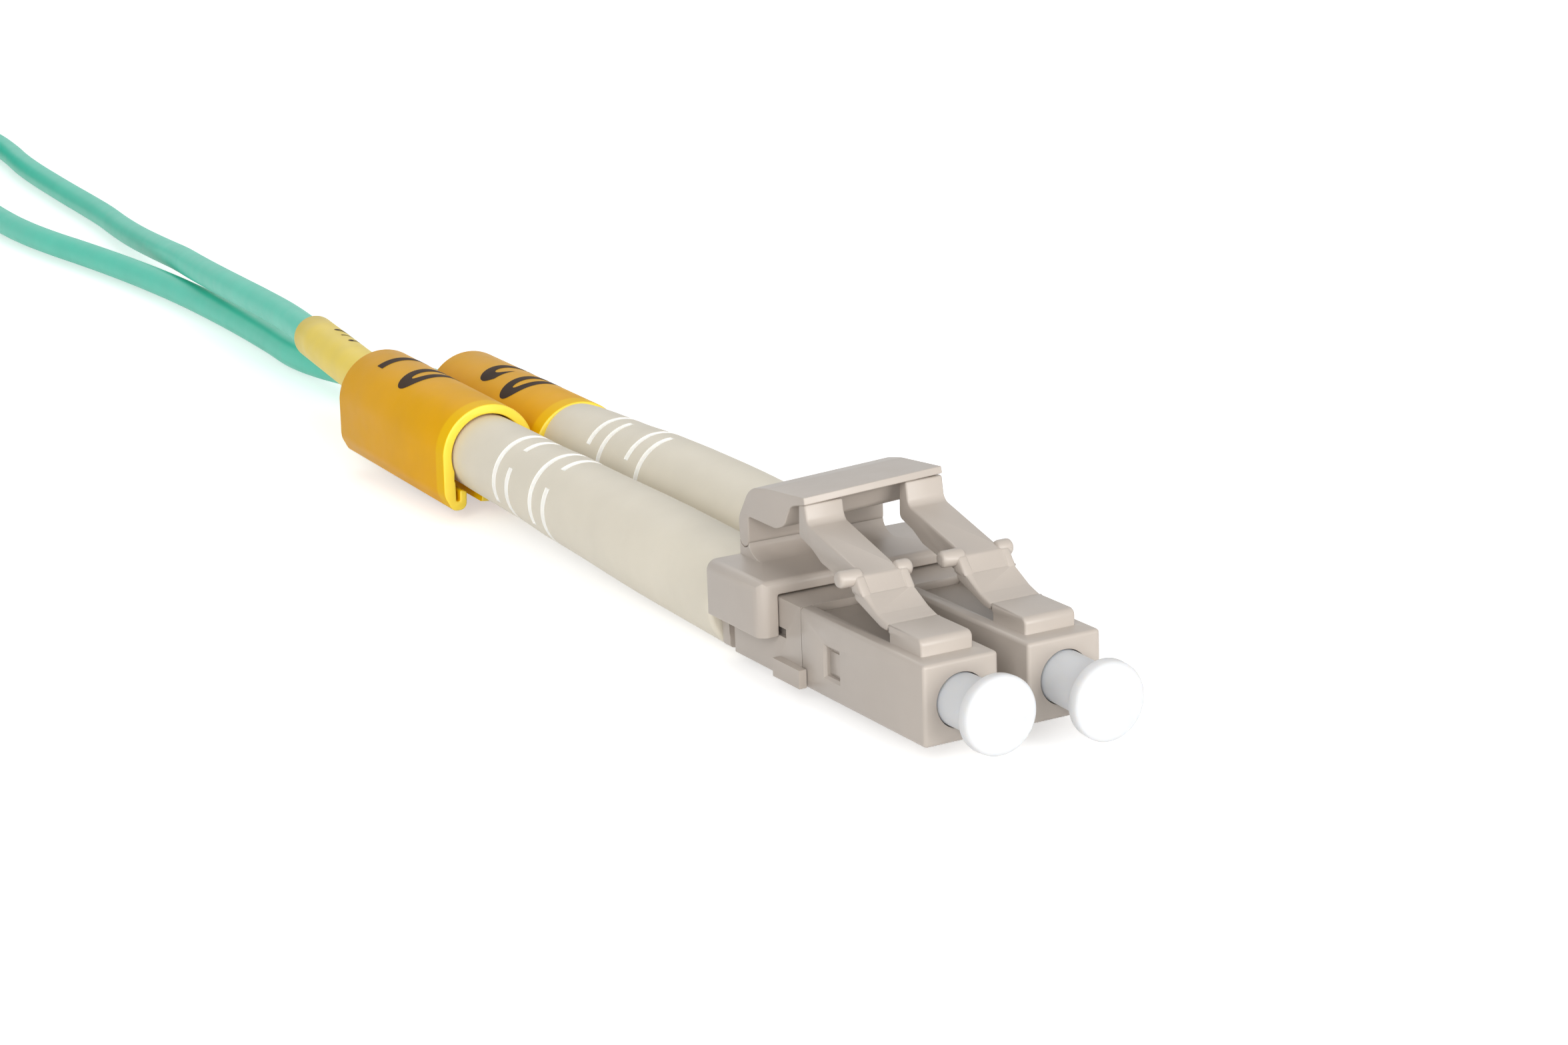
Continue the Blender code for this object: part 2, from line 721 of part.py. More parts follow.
def marker_clip(name, plug, side, tilt):
    inner = marker_inner / 2
    outer = marker_outer_radius
    slit_end = -90 - math.degrees(marker_slit)
    drop = marker_hook_drop
    width = marker_hook_width
    hook_x = -outer * 0.62
    wall = marker_wall
    outline = arc((0, 0), outer, 180, slit_end, marker_segments)[1:]
    outline += arc((0, 0), inner, slit_end, 186, marker_segments)
    leg_top = inner * 0.81
    hook = rounded([
        (hook_x - width / 4, -drop * 0.66), (hook_x - width / 5, -drop + wall, wall / 4),
        (hook_x + width / 3, -drop + wall, wall / 4), (hook_x + width / 2.6, -leg_top),
        (hook_x + width * 0.82, -leg_top - wall * 0.36), (hook_x + width * 0.72, -drop, wall * 0.75),
        (hook_x - width * 0.66, -drop, wall * 0.9), (-outer, -drop * 0.69, wall * 2),
        (-outer, 0),
    ])
    front = -marker_start - marker_length
    mesh = flat_mesh(outline + hook, along_y, front, -marker_start)
    made = add_object(name, mesh, plug, (side * marker_shift, tail_start, 0), (tilt, 0, 0))
    return finish(made, name, amber, 0.35)


def dust_cap(name, plug, segments):
    head = cap_head_diameter / 2
    stem = front_bore / 2 - cap_play
    bore = ferrule_diameter / 2 + cap_bore_play
    bore_end = -ferrule_reach - cap_bore_end_gap
    flare = (head + stem) / 2 - cap_head_edge / 2
    chamfer = ferrule_chamfer
    made = lathe([
        (0, bore_end), (bore, bore_end), (bore, cap_stem_depth), (stem - chamfer, cap_stem_depth),
        (stem, cap_stem_depth - chamfer), (stem, -cap_gap + cap_flare),
        (stem + cap_flare / 8, -cap_gap + cap_flare / 2), (flare, -cap_gap),
        (head - cap_head_edge / 2, -cap_gap), (head, -cap_gap - cap_head_edge / 2),
        (head, cap_front + cap_head_edge), (head - cap_head_edge, cap_front), (0, cap_front),
    ], segments, plug)
    return finish(made, name, clear_white, 0.4)


def duplex_clip(name, pair):
    inner_top = housing_top + fit_gap
    outline = rounded([
        (-clip_outer, clip_skirt), (-clip_outer, clip_top, clip_corner), (clip_outer, clip_top, clip_corner),
        (clip_outer, clip_skirt), (clip_inner, clip_skirt), (clip_inner, inner_top), (web_half, inner_top),
        (web_half, -clip_web_drop), (-web_half, -clip_web_drop), (-web_half, inner_top),
        (-clip_inner, inner_top), (-clip_inner, clip_skirt),
    ])
    made = flat(outline, along_y, clip_front, clip_rear, pair)
    low, high = -clip_web_drop - overshoot, clip_top
    side = rounded([
        (clip_front, low), (clip_rear, low), (clip_rear, high), (clip_front, high, clip_front_corner),
    ])
    reach = clip_outer + overshoot
    combine(made, flat(side, along_x, -reach, reach, pair), "INTERSECT")
    rear = clip_rear + overshoot
    plan = rounded([
        (-clip_outer, clip_front, clip_front_corner), (clip_outer, clip_front, clip_front_corner),
        (clip_outer, rear), (-clip_outer, rear),
    ])
    combine(made, flat(plan, along_z, low - overshoot, high + overshoot, pair), "INTERSECT")
    rib_low = clip_rib_rise - clip_rib_height / 2
    rib_high = rib_low + clip_rib_height
    rib_start = clip_front + clip_rib_play
    rib_end = rib_front - fit_gap - clip_rib_play
    walls = (
        (-clip_inner - overshoot, -clip_inner + clip_rib_reach), (-web_half - clip_rib_reach, -web_half + overshoot),
        (web_half - overshoot, web_half + clip_rib_reach), (clip_inner - clip_rib_reach, clip_inner + overshoot),
    )
    ribs = joined_boxes([((low_x, rib_start, rib_low), (high_x, rib_end, rib_high)) for low_x, high_x in walls], pair)
    combine(made, ribs, "UNION")
    foot = clip_top - overshoot
    socket = knuckle_radius + hinge_gap
    post_front = clip_rear - post_thickness
    lean = math.asin((post_thickness / 2) / socket)
    rim = trigger_pivot[1] - socket * math.cos(lean)
    flare = []
    for step in range(7):
        angle = math.radians(90 * step / 6)
        y = post_front - post_foot * (1 - math.sin(angle))
        flare.append((y, clip_top + (rim - clip_top) * (1 - math.cos(angle))))
    bowl = arc(trigger_pivot, socket, -90 - math.degrees(lean), -90 + math.degrees(lean), 10)[1:]
    post = [(post_front - post_foot, foot)] + flare + bowl + [(clip_rear, foot)]
    half = trigger_width / 2
    combine(made, flat(post, along_x, -half, half, pair), "UNION")
    return finish(made, name, white, 0.35)


def trigger(name, pair):
    """The trigger, its origin on its hinge over the clip."""
    tip_y = latch_tip[0] - trigger_pivot[0]
    tip_z = latch_tip[1] - trigger_pivot[1]
    radius = knuckle_radius
    lip_front = tip_y - lip_overhang
    under = tip_z + latch_rest_gap
    outer = rounded([
        (radius, 0), (radius, trigger_back_rise, 0.0010), (-crown_forward, crown_rise, 0.0012),
        (lip_front, under + lip_thickness), (lip_front - 0.0001, under),
    ])
    inner = rounded([
        (lip_front - 0.0001, under), (tip_y + 0.0001, under, 0.0006),
        (-trigger_web_forward, trigger_web_rise, 0.0006), (-radius, trigger_neck_rise, 0.0005), (-radius, 0),
    ])[1:]
    knuckle = arc((0, 0), radius, 180, 360, 12)[1:-1]
    half = trigger_width / 2
    place = (0, trigger_pivot[0], trigger_pivot[1])
    made = flat(outer + inner + knuckle, along_x, -half, half, pair, place)
    outer_edges = [Vector(point) for point in outer[:-1]]

    def on_outer_end(first, second):
        if abs(first.x - second.x) > fit_gap:
            return False
        ends = [min((Vector((end.y, end.z)) - point).length for point in outer_edges) for end in (first, second)]
        return max(ends) < fit_gap / 4

    bevel_marked(made, trigger_corner, 2, on_outer_end)
    return finish(made, name, white, 0.35)


def smooth(route, spacing):
    """Points of a smooth curve through the route's points, about the spacing apart."""
    route = [Vector(point) for point in route]
    ends = [2 * route[0] - route[1], 2 * route[-1] - route[-2]]
    line = [ends[0]] + route + [ends[1]]
    fine = []
    for first, second, third, fourth in zip(line, line[1:], line[2:], line[3:]):
        knots = [0]
        for start, end in ((first, second), (second, third), (third, fourth)):
            knots.append(knots[-1] + math.sqrt((end - start).length))
        steps = max(4, int((third - second).length / spacing * 8))
        for step in range(steps):
            at = knots[1] + (knots[2] - knots[1]) * step / steps
            fine.append(catmull_rom((first, second, third, fourth), knots, at))
    fine.append(route[-1])
    length = sum((end - start).length for start, end in zip(fine, fine[1:]))
    count = max(2, round(length / spacing))
    points, walked, wanted = [fine[0]], 0, length / count
    for start, end in zip(fine, fine[1:]):
        stretch = (end - start).length
        while walked + stretch >= wanted and len(points) < count:
            points.append(start.lerp(end, (wanted - walked) / stretch))
            wanted += length / count
        walked += stretch
    points.append(fine[-1])
    return points


def catmull_rom(corners, knots, at):
    """The centripetal Catmull-Rom curve's point between the second and the third corner."""
    level = list(corners)
    for span in (1, 2):
        level = [
            level[place].lerp(level[place + 1], (at - knots[place]) / (knots[place + span] - knots[place]))
            for place in range(len(level) - 1)
        ]
    return level[0].lerp(level[1], (at - knots[1]) / (knots[2] - knots[1]))


def cord(name, end, route):
    curve = bpy.data.curves.new(name, "CURVE")
    curve.dimensions = "3D"
    curve.bevel_depth = cord_radius
    curve.bevel_resolution = 2
    curve.use_fill_caps = True
    points = smooth(route, 3 * cord_diameter)
    spline = curve.splines.new("POLY")
    spline.points.add(len(points) - 1)
    for point, place in zip(spline.points, points):
        point.co = (*place, 1)
    made = add_object(name, mesh_of(curve), end)
    return finish(made, name, aqua, 0.45)


def label(name, end, route):
    """The heat-shrink label, a straight sleeve along its stretch of the leg."""
    points = smooth(route, cord_diameter / 4)
    front = min(points, key=lambda point: abs(point.y - label_start))
    rear = min(points, key=lambda point: abs(point.y - label_start - label_length))
    way = rear - front
    inner = cord_radius + label_play
    outer = inner + label_wall
    edge = label_wall / 3
    made = lathe([
        (inner, way.length), (outer - edge, way.length), (outer, way.length - edge), (outer, edge),
        (outer - edge, 0), (inner, 0),
    ], far_segments, end, front, True)
    made.rotation_euler = way.to_track_quat("Z", "X").to_euler()
    return finish(made, name, lemon, 0.4)


def stadium(length, width, steps):
    radius = width / 2
    straight = length / 2 - radius
    return arc((0, straight), radius, 0, 180, steps) + arc((0, -straight), radius, 180, 360, steps)


def hank(name):
    """The folded spare length's outer shape, its bottom carried by the tie's band."""
    bottom = tie_thickness + tie_play
    centre = (far_offset, face_place + hank_start + hank_length / 2, 0)
    outline = stadium(hank_length, hank_width, 12)
    made = flat(outline, along_z, bottom, bottom + hank_height, None, centre)
    return finish(made, name, aqua, 0.45)


def tie(name):
    centre = Vector((far_offset, face_place + hank_start + hank_length / 2, 0))
    half = hank_width / 2 + tie_play
    top = tie_thickness + hank_height + 2 * tie_play
    low, high = centre.y - tie_width / 2, centre.y + tie_width / 2
    outer = rounded([
        (-half - tie_thickness, 0, tie_thickness), (half + tie_thickness, 0, tie_thickness),
        (half + tie_thickness, top + tie_thickness, tie_thickness),
        (-half - tie_thickness, top + tie_thickness, tie_thickness),
    ])
    made = flat(outer, along_y, low, high, None, (centre.x, 0, 0))
    inner = [(-half, tie_thickness), (half, tie_thickness), (half, top), (-half, top)]
    combine(made, flat(inner, along_y, low - overshoot, high + overshoot, None, (centre.x, 0, 0)))
    return finish(made, name, black, 0.6)


def plug_pair(prefix, pair, segments, wire_points):
    """One end of the cord: two plugs, the clip that holds them and the trigger."""
    for letter, side, turn in (("a", -1, slot_turn_a), ("b", 1, slot_turn_b)):
        plug = add_empty(f"{prefix}plug_{letter}_axis", (side * plug_pitch / 2, 0, 0))
        plug.parent = pair
        front_housing(f"{prefix}front_housing_{letter}", plug)
        latch_arm(f"{prefix}latch_arm_{letter}", plug)
        ferrule(f"{prefix}ferrule_{letter}", plug, segments)
        ferrule_holder(f"{prefix}ferrule_holder_{letter}", plug, segments)
        spring(f"{prefix}ferrule_spring_{letter}", plug, wire_points)
        rear_body(f"{prefix}rear_body_{letter}", plug, segments)
        crimp_sleeve(f"{prefix}crimp_sleeve_{letter}", plug, segments)
        buffered_fibre(f"{prefix}buffered_fibre_{letter}", plug, far_segments // 2)
        boot(f"{prefix}boot_{letter}", plug, segments, turn, tail_tilts[letter])
        marker_clip(f"{prefix}marker_clip_{letter}", plug, side, tail_tilts[letter])
        dust_cap(f"{prefix}dust_cap_{letter}", plug, segments)
    duplex_clip(f"{prefix}duplex_clip", pair)
    trigger(f"{prefix}trigger", pair)


near = add_empty("near_end", (0, face_place, axis_height))
far = add_empty("far_end", (far_offset, face_place + far_face, axis_height), math.pi)
plug_pair("", near, near_segments, 8)
plug_pair("far_", far, far_segments, 6)

mm = 0.001
left, right = -plug_pitch / 2, plug_pitch / 2
ring_front = 0.056
boot_end = tail_start + boot_length


def tail_z(y, letter):
    return (y - tail_start) * math.tan(tail_tilts[letter])


# The near legs' routes, from the plugs to the hank
leg_a_route = [
    (left, cord_start, 0), (left, cord_start + 3 * mm, 0.02 * mm), (left, 34 * mm, tail_z(34 * mm, "a")),
    (left, boot_end - 8 * mm, tail_z(boot_end - 8 * mm, "a")), (left, boot_end + 1 * mm, 1.28 * mm),
    (-3.02 * mm, 71.3 * mm, 1.85 * mm), (-2.30 * mm, 77 * mm, 1.92 * mm), (-1.40 * mm, 84 * mm, 2.01 * mm),
    (-0.65 * mm, 89.9 * mm, 2.08 * mm), (0.15 * mm, 96 * mm, 1.70 * mm),
    (1.4 * mm, 107 * mm, 0.9 * mm), (3.0 * mm, 119 * mm, 0.6 * mm), (4.7 * mm, 127 * mm, 0.1 * mm),
    (6.0 * mm, 134 * mm, -1.2 * mm), (6.5 * mm, 141 * mm, on_floor), (6.9 * mm, 152 * mm, on_floor),
    (8.2 * mm, 168 * mm, on_floor), (10.3 * mm, 187.5 * mm, on_floor), (12.4 * mm, 207 * mm, on_floor),
    (13.3 * mm, 219 * mm, on_floor + 0.5 * mm), (13.3 * mm, 228.2 * mm, on_floor + 0.85 * mm),
]
leg_b_route = [
    (right, cord_start, 0), (right, cord_start + 3 * mm, 0.02 * mm), (right, 34 * mm, tail_z(34 * mm, "b")),
    (right, boot_end - 8 * mm, tail_z(boot_end - 8 * mm, "b")), (right, boot_end + 2 * mm, 0.74 * mm),
    (3.05 * mm, 78 * mm, 0.35 * mm), (2.5 * mm, 90 * mm, -1.1 * mm), (2.2 * mm, 100 * mm, on_floor),
    (2.7 * mm, 109 * mm, on_floor), (3.1 * mm, 119 * mm, on_floor), (3.2 * mm, 130 * mm, on_floor),
    (2.9 * mm, 141 * mm, on_floor), (2.1 * mm, 151 * mm, on_floor), (1.2 * mm, 161 * mm, on_floor),
    (1.3 * mm, 172 * mm, on_floor), (3.0 * mm, 187 * mm, on_floor), (6.6 * mm, 203 * mm, on_floor),
    (10.2 * mm, 216 * mm, on_floor + 0.45 * mm), (11.0 * mm, 226.3 * mm, on_floor + 0.85 * mm),
]
cord("cord_leg_a", near, leg_a_route)
cord("cord_leg_b", near, leg_b_route)
label("leg_label", near, leg_a_route)

# The far legs' routes, from the far plugs back to the hank, in the far end's frame
far_hank = far_face - hank_start - hank_length
top_row = tie_thickness + tie_play + hank_height - cord_radius - axis_height
far_leg_a_route = [
    (left, cord_start, 0), (left, cord_start + 3 * mm, 0.02 * mm), (left, 34 * mm, tail_z(34 * mm, "a")),
    (left, boot_end - 8 * mm, tail_z(boot_end - 8 * mm, "a")), (left - 0.1 * mm, boot_end + 2 * mm, 1.3 * mm),
    (left - 0.7 * mm, 78 * mm, 2.1 * mm), (-5.4 * mm, 89 * mm, 4.2 * mm), (-7.3 * mm, 100 * mm, 7.4 * mm),
    (-8.7 * mm, far_hank - 2 * mm, 9.6 * mm), (-9.0 * mm, far_hank + 3.1 * mm, top_row),
]
far_leg_b_route = [
    (right, cord_start, 0), (right, cord_start + 3 * mm, 0.02 * mm), (right, 34 * mm, tail_z(34 * mm, "b")),
    (right, boot_end - 8 * mm, tail_z(boot_end - 8 * mm, "b")), (right - 0.1 * mm, boot_end + 2 * mm, 0.78 * mm),
    (right - 0.9 * mm, 78 * mm, 1.5 * mm), (-0.6 * mm, 89 * mm, 4.1 * mm), (-4.0 * mm, 100 * mm, 7.4 * mm),
    (-6.2 * mm, far_hank - 3 * mm, 9.5 * mm), (-6.7 * mm, far_hank + 1.0 * mm, top_row),
]
cord("far_cord_leg_a", far, far_leg_a_route)
cord("far_cord_leg_b", far, far_leg_b_route)
hank("cord_hank")
tie("cord_tie")
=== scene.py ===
import math
import bmesh
import bpy
from mathutils import Matrix, Vector


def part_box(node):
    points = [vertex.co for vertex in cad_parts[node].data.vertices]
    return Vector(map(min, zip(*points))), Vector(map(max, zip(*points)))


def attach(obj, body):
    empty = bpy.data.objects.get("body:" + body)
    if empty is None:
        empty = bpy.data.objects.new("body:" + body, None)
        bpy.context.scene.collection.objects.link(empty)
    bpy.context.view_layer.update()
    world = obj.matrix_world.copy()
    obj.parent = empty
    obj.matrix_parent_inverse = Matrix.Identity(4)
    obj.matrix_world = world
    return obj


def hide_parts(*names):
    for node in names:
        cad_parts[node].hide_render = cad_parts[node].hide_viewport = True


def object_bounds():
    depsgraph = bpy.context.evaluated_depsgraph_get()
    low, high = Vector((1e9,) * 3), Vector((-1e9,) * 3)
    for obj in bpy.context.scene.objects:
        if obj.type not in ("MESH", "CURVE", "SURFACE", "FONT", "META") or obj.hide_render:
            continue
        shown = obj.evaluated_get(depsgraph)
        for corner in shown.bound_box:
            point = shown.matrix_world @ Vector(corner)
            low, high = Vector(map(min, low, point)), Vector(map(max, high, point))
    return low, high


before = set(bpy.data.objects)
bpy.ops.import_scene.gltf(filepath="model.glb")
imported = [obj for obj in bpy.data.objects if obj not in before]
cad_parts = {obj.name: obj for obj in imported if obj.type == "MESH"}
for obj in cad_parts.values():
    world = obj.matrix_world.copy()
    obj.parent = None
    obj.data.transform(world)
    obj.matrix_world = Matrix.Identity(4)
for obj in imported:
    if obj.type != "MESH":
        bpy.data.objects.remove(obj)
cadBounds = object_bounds()

# Pieces are modelled in millimetres in a plug's own frame, y to the rear and z up from its axis,
# and are put in their places in metres by a matrix.
mm = 0.001
layout = {
    "plugPitch": 6.25,
    "axisOverHousingFoot": 2.18,
    "farFace": 392.0,
    "farOffset": 4.3,
    "tailStart": 20.97,        # the boots' fronts, behind the housings' front faces
    "tailTilts": {"a": 1.72, "b": 0.95},     # degrees
}
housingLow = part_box("front_housing_a")[0]
facePlace = housingLow[1] / mm
axisHeight = housingLow[2] / mm + layout["axisOverHousingFoot"]
toMetres = Matrix.Scale(mm, 4)
nearEnd = Matrix.Translation((0, facePlace, axisHeight))
farPlace = (layout["farOffset"], facePlace + layout["farFace"], axisHeight)
farEnd = Matrix.Translation(farPlace) @ Matrix.Rotation(math.pi, 4, "Z")
tails = {
    letter: Matrix.Translation((0, layout["tailStart"], 0)) @ Matrix.Rotation(math.radians(tilt), 4, "X")
    for letter, tilt in layout["tailTilts"].items()
}
ends = (("", nearEnd), ("far_", farEnd))
plugs = [
    (prefix, letter, end @ Matrix.Translation((side * layout["plugPitch"] / 2, 0, 0)))
    for prefix, end in ends for letter, side in (("a", -1), ("b", 1))
]

# how an outline's plane and its depth turn into the plug's frame
alongX = Matrix(((0, 0, 1, 0), (1, 0, 0, 0), (0, 1, 0, 0), (0, 0, 0, 1)))
alongY = Matrix.Rotation(math.radians(90), 4, "X") @ Matrix.Scale(-1, 4, (0, 0, 1))
alongZ = Matrix.Identity(4)


def only(piece):
    bpy.ops.object.select_all(action="DESELECT")
    piece.select_set(True)
    bpy.context.view_layer.objects.active = piece


def discard(*pieces):
    for piece in pieces:
        bpy.data.objects.remove(piece, do_unlink=True)


def weld(piece):
    only(piece)
    bpy.ops.object.mode_set(mode="EDIT")
    bpy.ops.mesh.select_all(action="SELECT")
    bpy.ops.mesh.remove_doubles(threshold=0.0005)
    bpy.ops.mesh.normals_make_consistent(inside=False)
    bpy.ops.object.mode_set(mode="OBJECT")


def arc(centre, radius, start, end, steps):
    angles = [math.radians(start + (end - start) * step / steps) for step in range(steps + 1)]
    return [
        Vector((centre[0] + radius * math.cos(angle), centre[1] + radius * math.sin(angle)))
        for angle in angles
    ]


# A closed outline. A point's third value is the radius of its corner.
def rounded(points, steps=6):
    result = []
    for place, point in enumerate(points):
        corner = Vector(point[:2])
        if len(point) == 2:
            result.append(corner)
            continue
        before = Vector(points[place - 1][:2]) - corner
        after = Vector(points[(place + 1) % len(points)][:2]) - corner
        half = before.angle(after) / 2
        reach = min(point[2] / math.tan(half), 0.48 * before.length, 0.48 * after.length)
        radius = reach * math.tan(half)
        centre = corner + (before.normalized() + after.normalized()).normalized() * radius / math.sin(half)
        first = corner + before.normalized() * reach - centre
        last = corner + after.normalized() * reach - centre
        start = math.degrees(math.atan2(first.y, first.x))
        sweep = math.remainder(math.degrees(math.atan2(last.y, last.x)) - start, 360)
        result += arc(centre, radius, start, start + sweep, steps)
    return result


def asMesh(piece):
    only(piece)
    bpy.ops.object.convert(target="MESH")
    return bpy.context.object


def newCurve(name, points, closed, dimensions):
    curve = bpy.data.curves.new(name, "CURVE")
    curve.dimensions = dimensions
    spline = curve.splines.new("POLY")
    spline.points.add(len(points) - 1)
    for point, place in zip(spline.points, points):
        point.co = (*place, 0, 1) if len(place) == 2 else (*place, 1)
    spline.use_cyclic_u = closed
    piece = bpy.data.objects.new(name, curve)
    bpy.context.collection.objects.link(piece)
    return piece


# an outline filled and thickened from low to high, its rims rounded by edge
def slab(name, outline, lay, low, high, edge=0.0):
    piece = newCurve(name, outline, True, "2D")
    piece.data.fill_mode = "BOTH"
    piece.data.extrude = (high - low) / 2 - edge
    piece.data.bevel_depth = edge
    piece.data.bevel_resolution = 2
    piece.data.offset = -edge
    piece = asMesh(piece)
    piece.data.transform(lay @ Matrix.Translation((0, 0, (low + high) / 2)))
    weld(piece)
    return piece


# a profile of radius and y, spun round the plug's axis
def turned(name, profile, steps=64):
    piece = asMesh(newCurve(name, [(radius, y, 0) for radius, y in profile], False, "3D"))
    bpy.ops.object.mode_set(mode="EDIT")
    bpy.ops.mesh.select_all(action="SELECT")
    bpy.ops.mesh.spin(steps=steps, angle=2 * math.pi, center=(0, 0, 0), axis=(0, 1, 0))
    bpy.ops.object.mode_set(mode="OBJECT")
    weld(piece)
    return piece


def block(name, low, high):
    low, high = Vector(low), Vector(high)
    bpy.ops.object.select_all(action="DESELECT")
    bpy.ops.mesh.primitive_cube_add(size=1, location=(low + high) / 2, scale=high - low)
    piece = bpy.context.object
    piece.name = name
    bpy.ops.object.transform_apply(location=True, rotation=True, scale=True)
    return piece


# rounds the edges for whose two ends the test holds
def bevelWhere(piece, width, steps, test):
    only(piece)
    bpy.ops.object.mode_set(mode="EDIT")
    bpy.ops.mesh.select_mode(type="EDGE")
    bpy.ops.mesh.select_all(action="DESELECT")
    form = bmesh.from_edit_mesh(piece.data)
    for edge in form.edges:
        edge.select = test(edge.verts[0].co, edge.verts[1].co)
    bmesh.update_edit_mesh(piece.data)
    bpy.ops.mesh.bevel(offset=width, segments=steps, profile=0.5, clamp_overlap=True)
    bpy.ops.object.mode_set(mode="OBJECT")


def combine(piece, other, operation="DIFFERENCE"):
    only(piece)
    modifier = piece.modifiers.new("combine", "BOOLEAN")
    modifier.operation = operation
    modifier.solver = "MANIFOLD"
    modifier.object = other
    bpy.ops.object.modifier_apply(modifier=modifier.name)
    discard(other)
    return piece


# a small round along every edge that is sharper than the angle
def soften(piece, width, angle=38, steps=2):
    only(piece)
    bpy.ops.object.mode_set(mode="EDIT")
    bpy.ops.mesh.select_all(action="SELECT")
    bpy.ops.mesh.remove_doubles(threshold=0.002)
    bpy.ops.mesh.dissolve_limited(angle_limit=math.radians(0.5))
    bpy.ops.object.mode_set(mode="OBJECT")
    modifier = piece.modifiers.new("soften", "BEVEL")
    modifier.limit_method = "ANGLE"
    modifier.angle_limit = math.radians(angle)
    modifier.width = width
    modifier.segments = steps
    modifier.use_clamp_overlap = True
    bpy.ops.object.modifier_apply(modifier=modifier.name)


def smoothLook(piece, angle=40):
    only(piece)
    bpy.ops.object.shade_smooth_by_angle(angle=math.radians(angle))


# a copy of a modelled piece in its place, on its body and in place of its CAD node
def placed(model, name, matrix, material, body, node=None):
    piece = bpy.data.objects.new(name, model.data.copy())
    bpy.context.collection.objects.link(piece)
    piece.data.transform(toMetres @ matrix)
    if material:
        piece.data.materials.clear()
        piece.data.materials.append(material)
    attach(piece, body)
    if node:
        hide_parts(node)
    return piece


# Materials

def shaderMaterial(name, colour, roughness):
    material = bpy.data.materials.new(name)
    material.use_nodes = True
    shader = material.node_tree.nodes["Principled BSDF"]
    shader.inputs["Base Color"].default_value = (*colour, 1)
    shader.inputs["Roughness"].default_value = roughness
    return material, shader


def noise(material, scale, detail, stretch=(1, 1, 1)):
    nodes, links = material.node_tree.nodes, material.node_tree.links
    coords = nodes.new("ShaderNodeTexCoord")
    mapping = nodes.new("ShaderNodeMapping")
    mapping.inputs["Scale"].default_value = stretch
    texture = nodes.new("ShaderNodeTexNoise")
    texture.inputs["Scale"].default_value = scale
    texture.inputs["Detail"].default_value = detail
    links.new(coords.outputs["Object"], mapping.inputs["Vector"])
    links.new(mapping.outputs["Vector"], texture.inputs["Vector"])
    return texture.outputs["Fac"]


def ramp(material, source, stops):
    nodes, links = material.node_tree.nodes, material.node_tree.links
    node = nodes.new("ShaderNodeValToRGB")
    elements = node.color_ramp.elements
    while len(elements) < len(stops):
        elements.new(0.5)
    for element, (position, colour) in zip(elements, stops):
        element.position = position
        element.color = (*colour, 1)
    links.new(source, node.inputs["Fac"])
    return node.outputs["Color"]


def mapped(material, source, low, high):
    nodes, links = material.node_tree.nodes, material.node_tree.links
    node = nodes.new("ShaderNodeMapRange")
    node.inputs["To Min"].default_value = low
    node.inputs["To Max"].default_value = high
    links.new(source, node.inputs["Value"])
    return node.outputs["Result"]


def bump(material, shader, source, strength, height):
    nodes, links = material.node_tree.nodes, material.node_tree.links
    node = nodes.new("ShaderNodeBump")
    node.inputs["Strength"].default_value = strength
    node.inputs["Distance"].default_value = height * mm
    links.new(source, node.inputs["Height"])
    links.new(node.outputs["Normal"], shader.inputs["Normal"])


# moulded plastic with a faint mottle, an uneven gloss and a fine spark-eroded grain
def plastic(name, colour, roughness, mottle=0.03, grain=0.1, glow=0.0):
    material, shader = shaderMaterial(name, colour, roughness)
    links = material.node_tree.links
    light = tuple(min(1, value * (1 + mottle)) for value in colour)
    dark = tuple(value * (1 - mottle) for value in colour)
    links.new(ramp(material, noise(material, 260, 3), [(0.3, dark), (0.5, colour), (0.7, light)]),
              shader.inputs["Base Color"])
    links.new(mapped(material, noise(material, 800, 2), roughness - 0.06, roughness + 0.08),
              shader.inputs["Roughness"])
    bump(material, shader, noise(material, 7000, 3), grain, 0.03)
    shader.inputs["Subsurface Weight"].default_value = glow
    shader.inputs["Subsurface Scale"].default_value = 0.6 * mm
    shader.inputs["Subsurface Radius"].default_value = (1.0, 0.85, 0.7)
    return material


# Tinted plastic with a painted glow: near its front rim the base colour turns to the lighter band colour,
# which stands in for light that fills the plastic there. The attribute along holds the place behind the rim.
def translucentClip(name, band, body, roughness, glowEnd):
    material = plastic(name, body, roughness, 0.04, 0.08, 0.2)
    nodes, links = material.node_tree.nodes, material.node_tree.links
    along = nodes.new("ShaderNodeAttribute")
    along.attribute_name = "along"
    # the painted glow fades out a little behind the rim
    shares = ramp(material, along.outputs["Fac"], [(glowEnd * 0.85, (0, 0, 0)), (glowEnd, (1, 1, 1))])
    mix = nodes.new("ShaderNodeMix")
    mix.data_type = "RGBA"
    shader = nodes["Principled BSDF"]
    base = shader.inputs["Base Color"].links[0].from_socket
    links.new(shares, mix.inputs["Factor"])
    mix.inputs["A"].default_value = (*band, 1)
    links.new(base, mix.inputs["B"])
    links.new(mix.outputs["Result"], shader.inputs["Base Color"])
    shader.inputs["Specular IOR Level"].default_value = 0.1
    return material


# drawn or turned metal with fine lines
def metal(name, colour, roughness, stretch):
    material, shader = shaderMaterial(name, colour, roughness)
    shader.inputs["Metallic"].default_value = 1.0
    bump(material, shader, noise(material, 3000, 3, stretch), 0.2, 0.02)
    return material


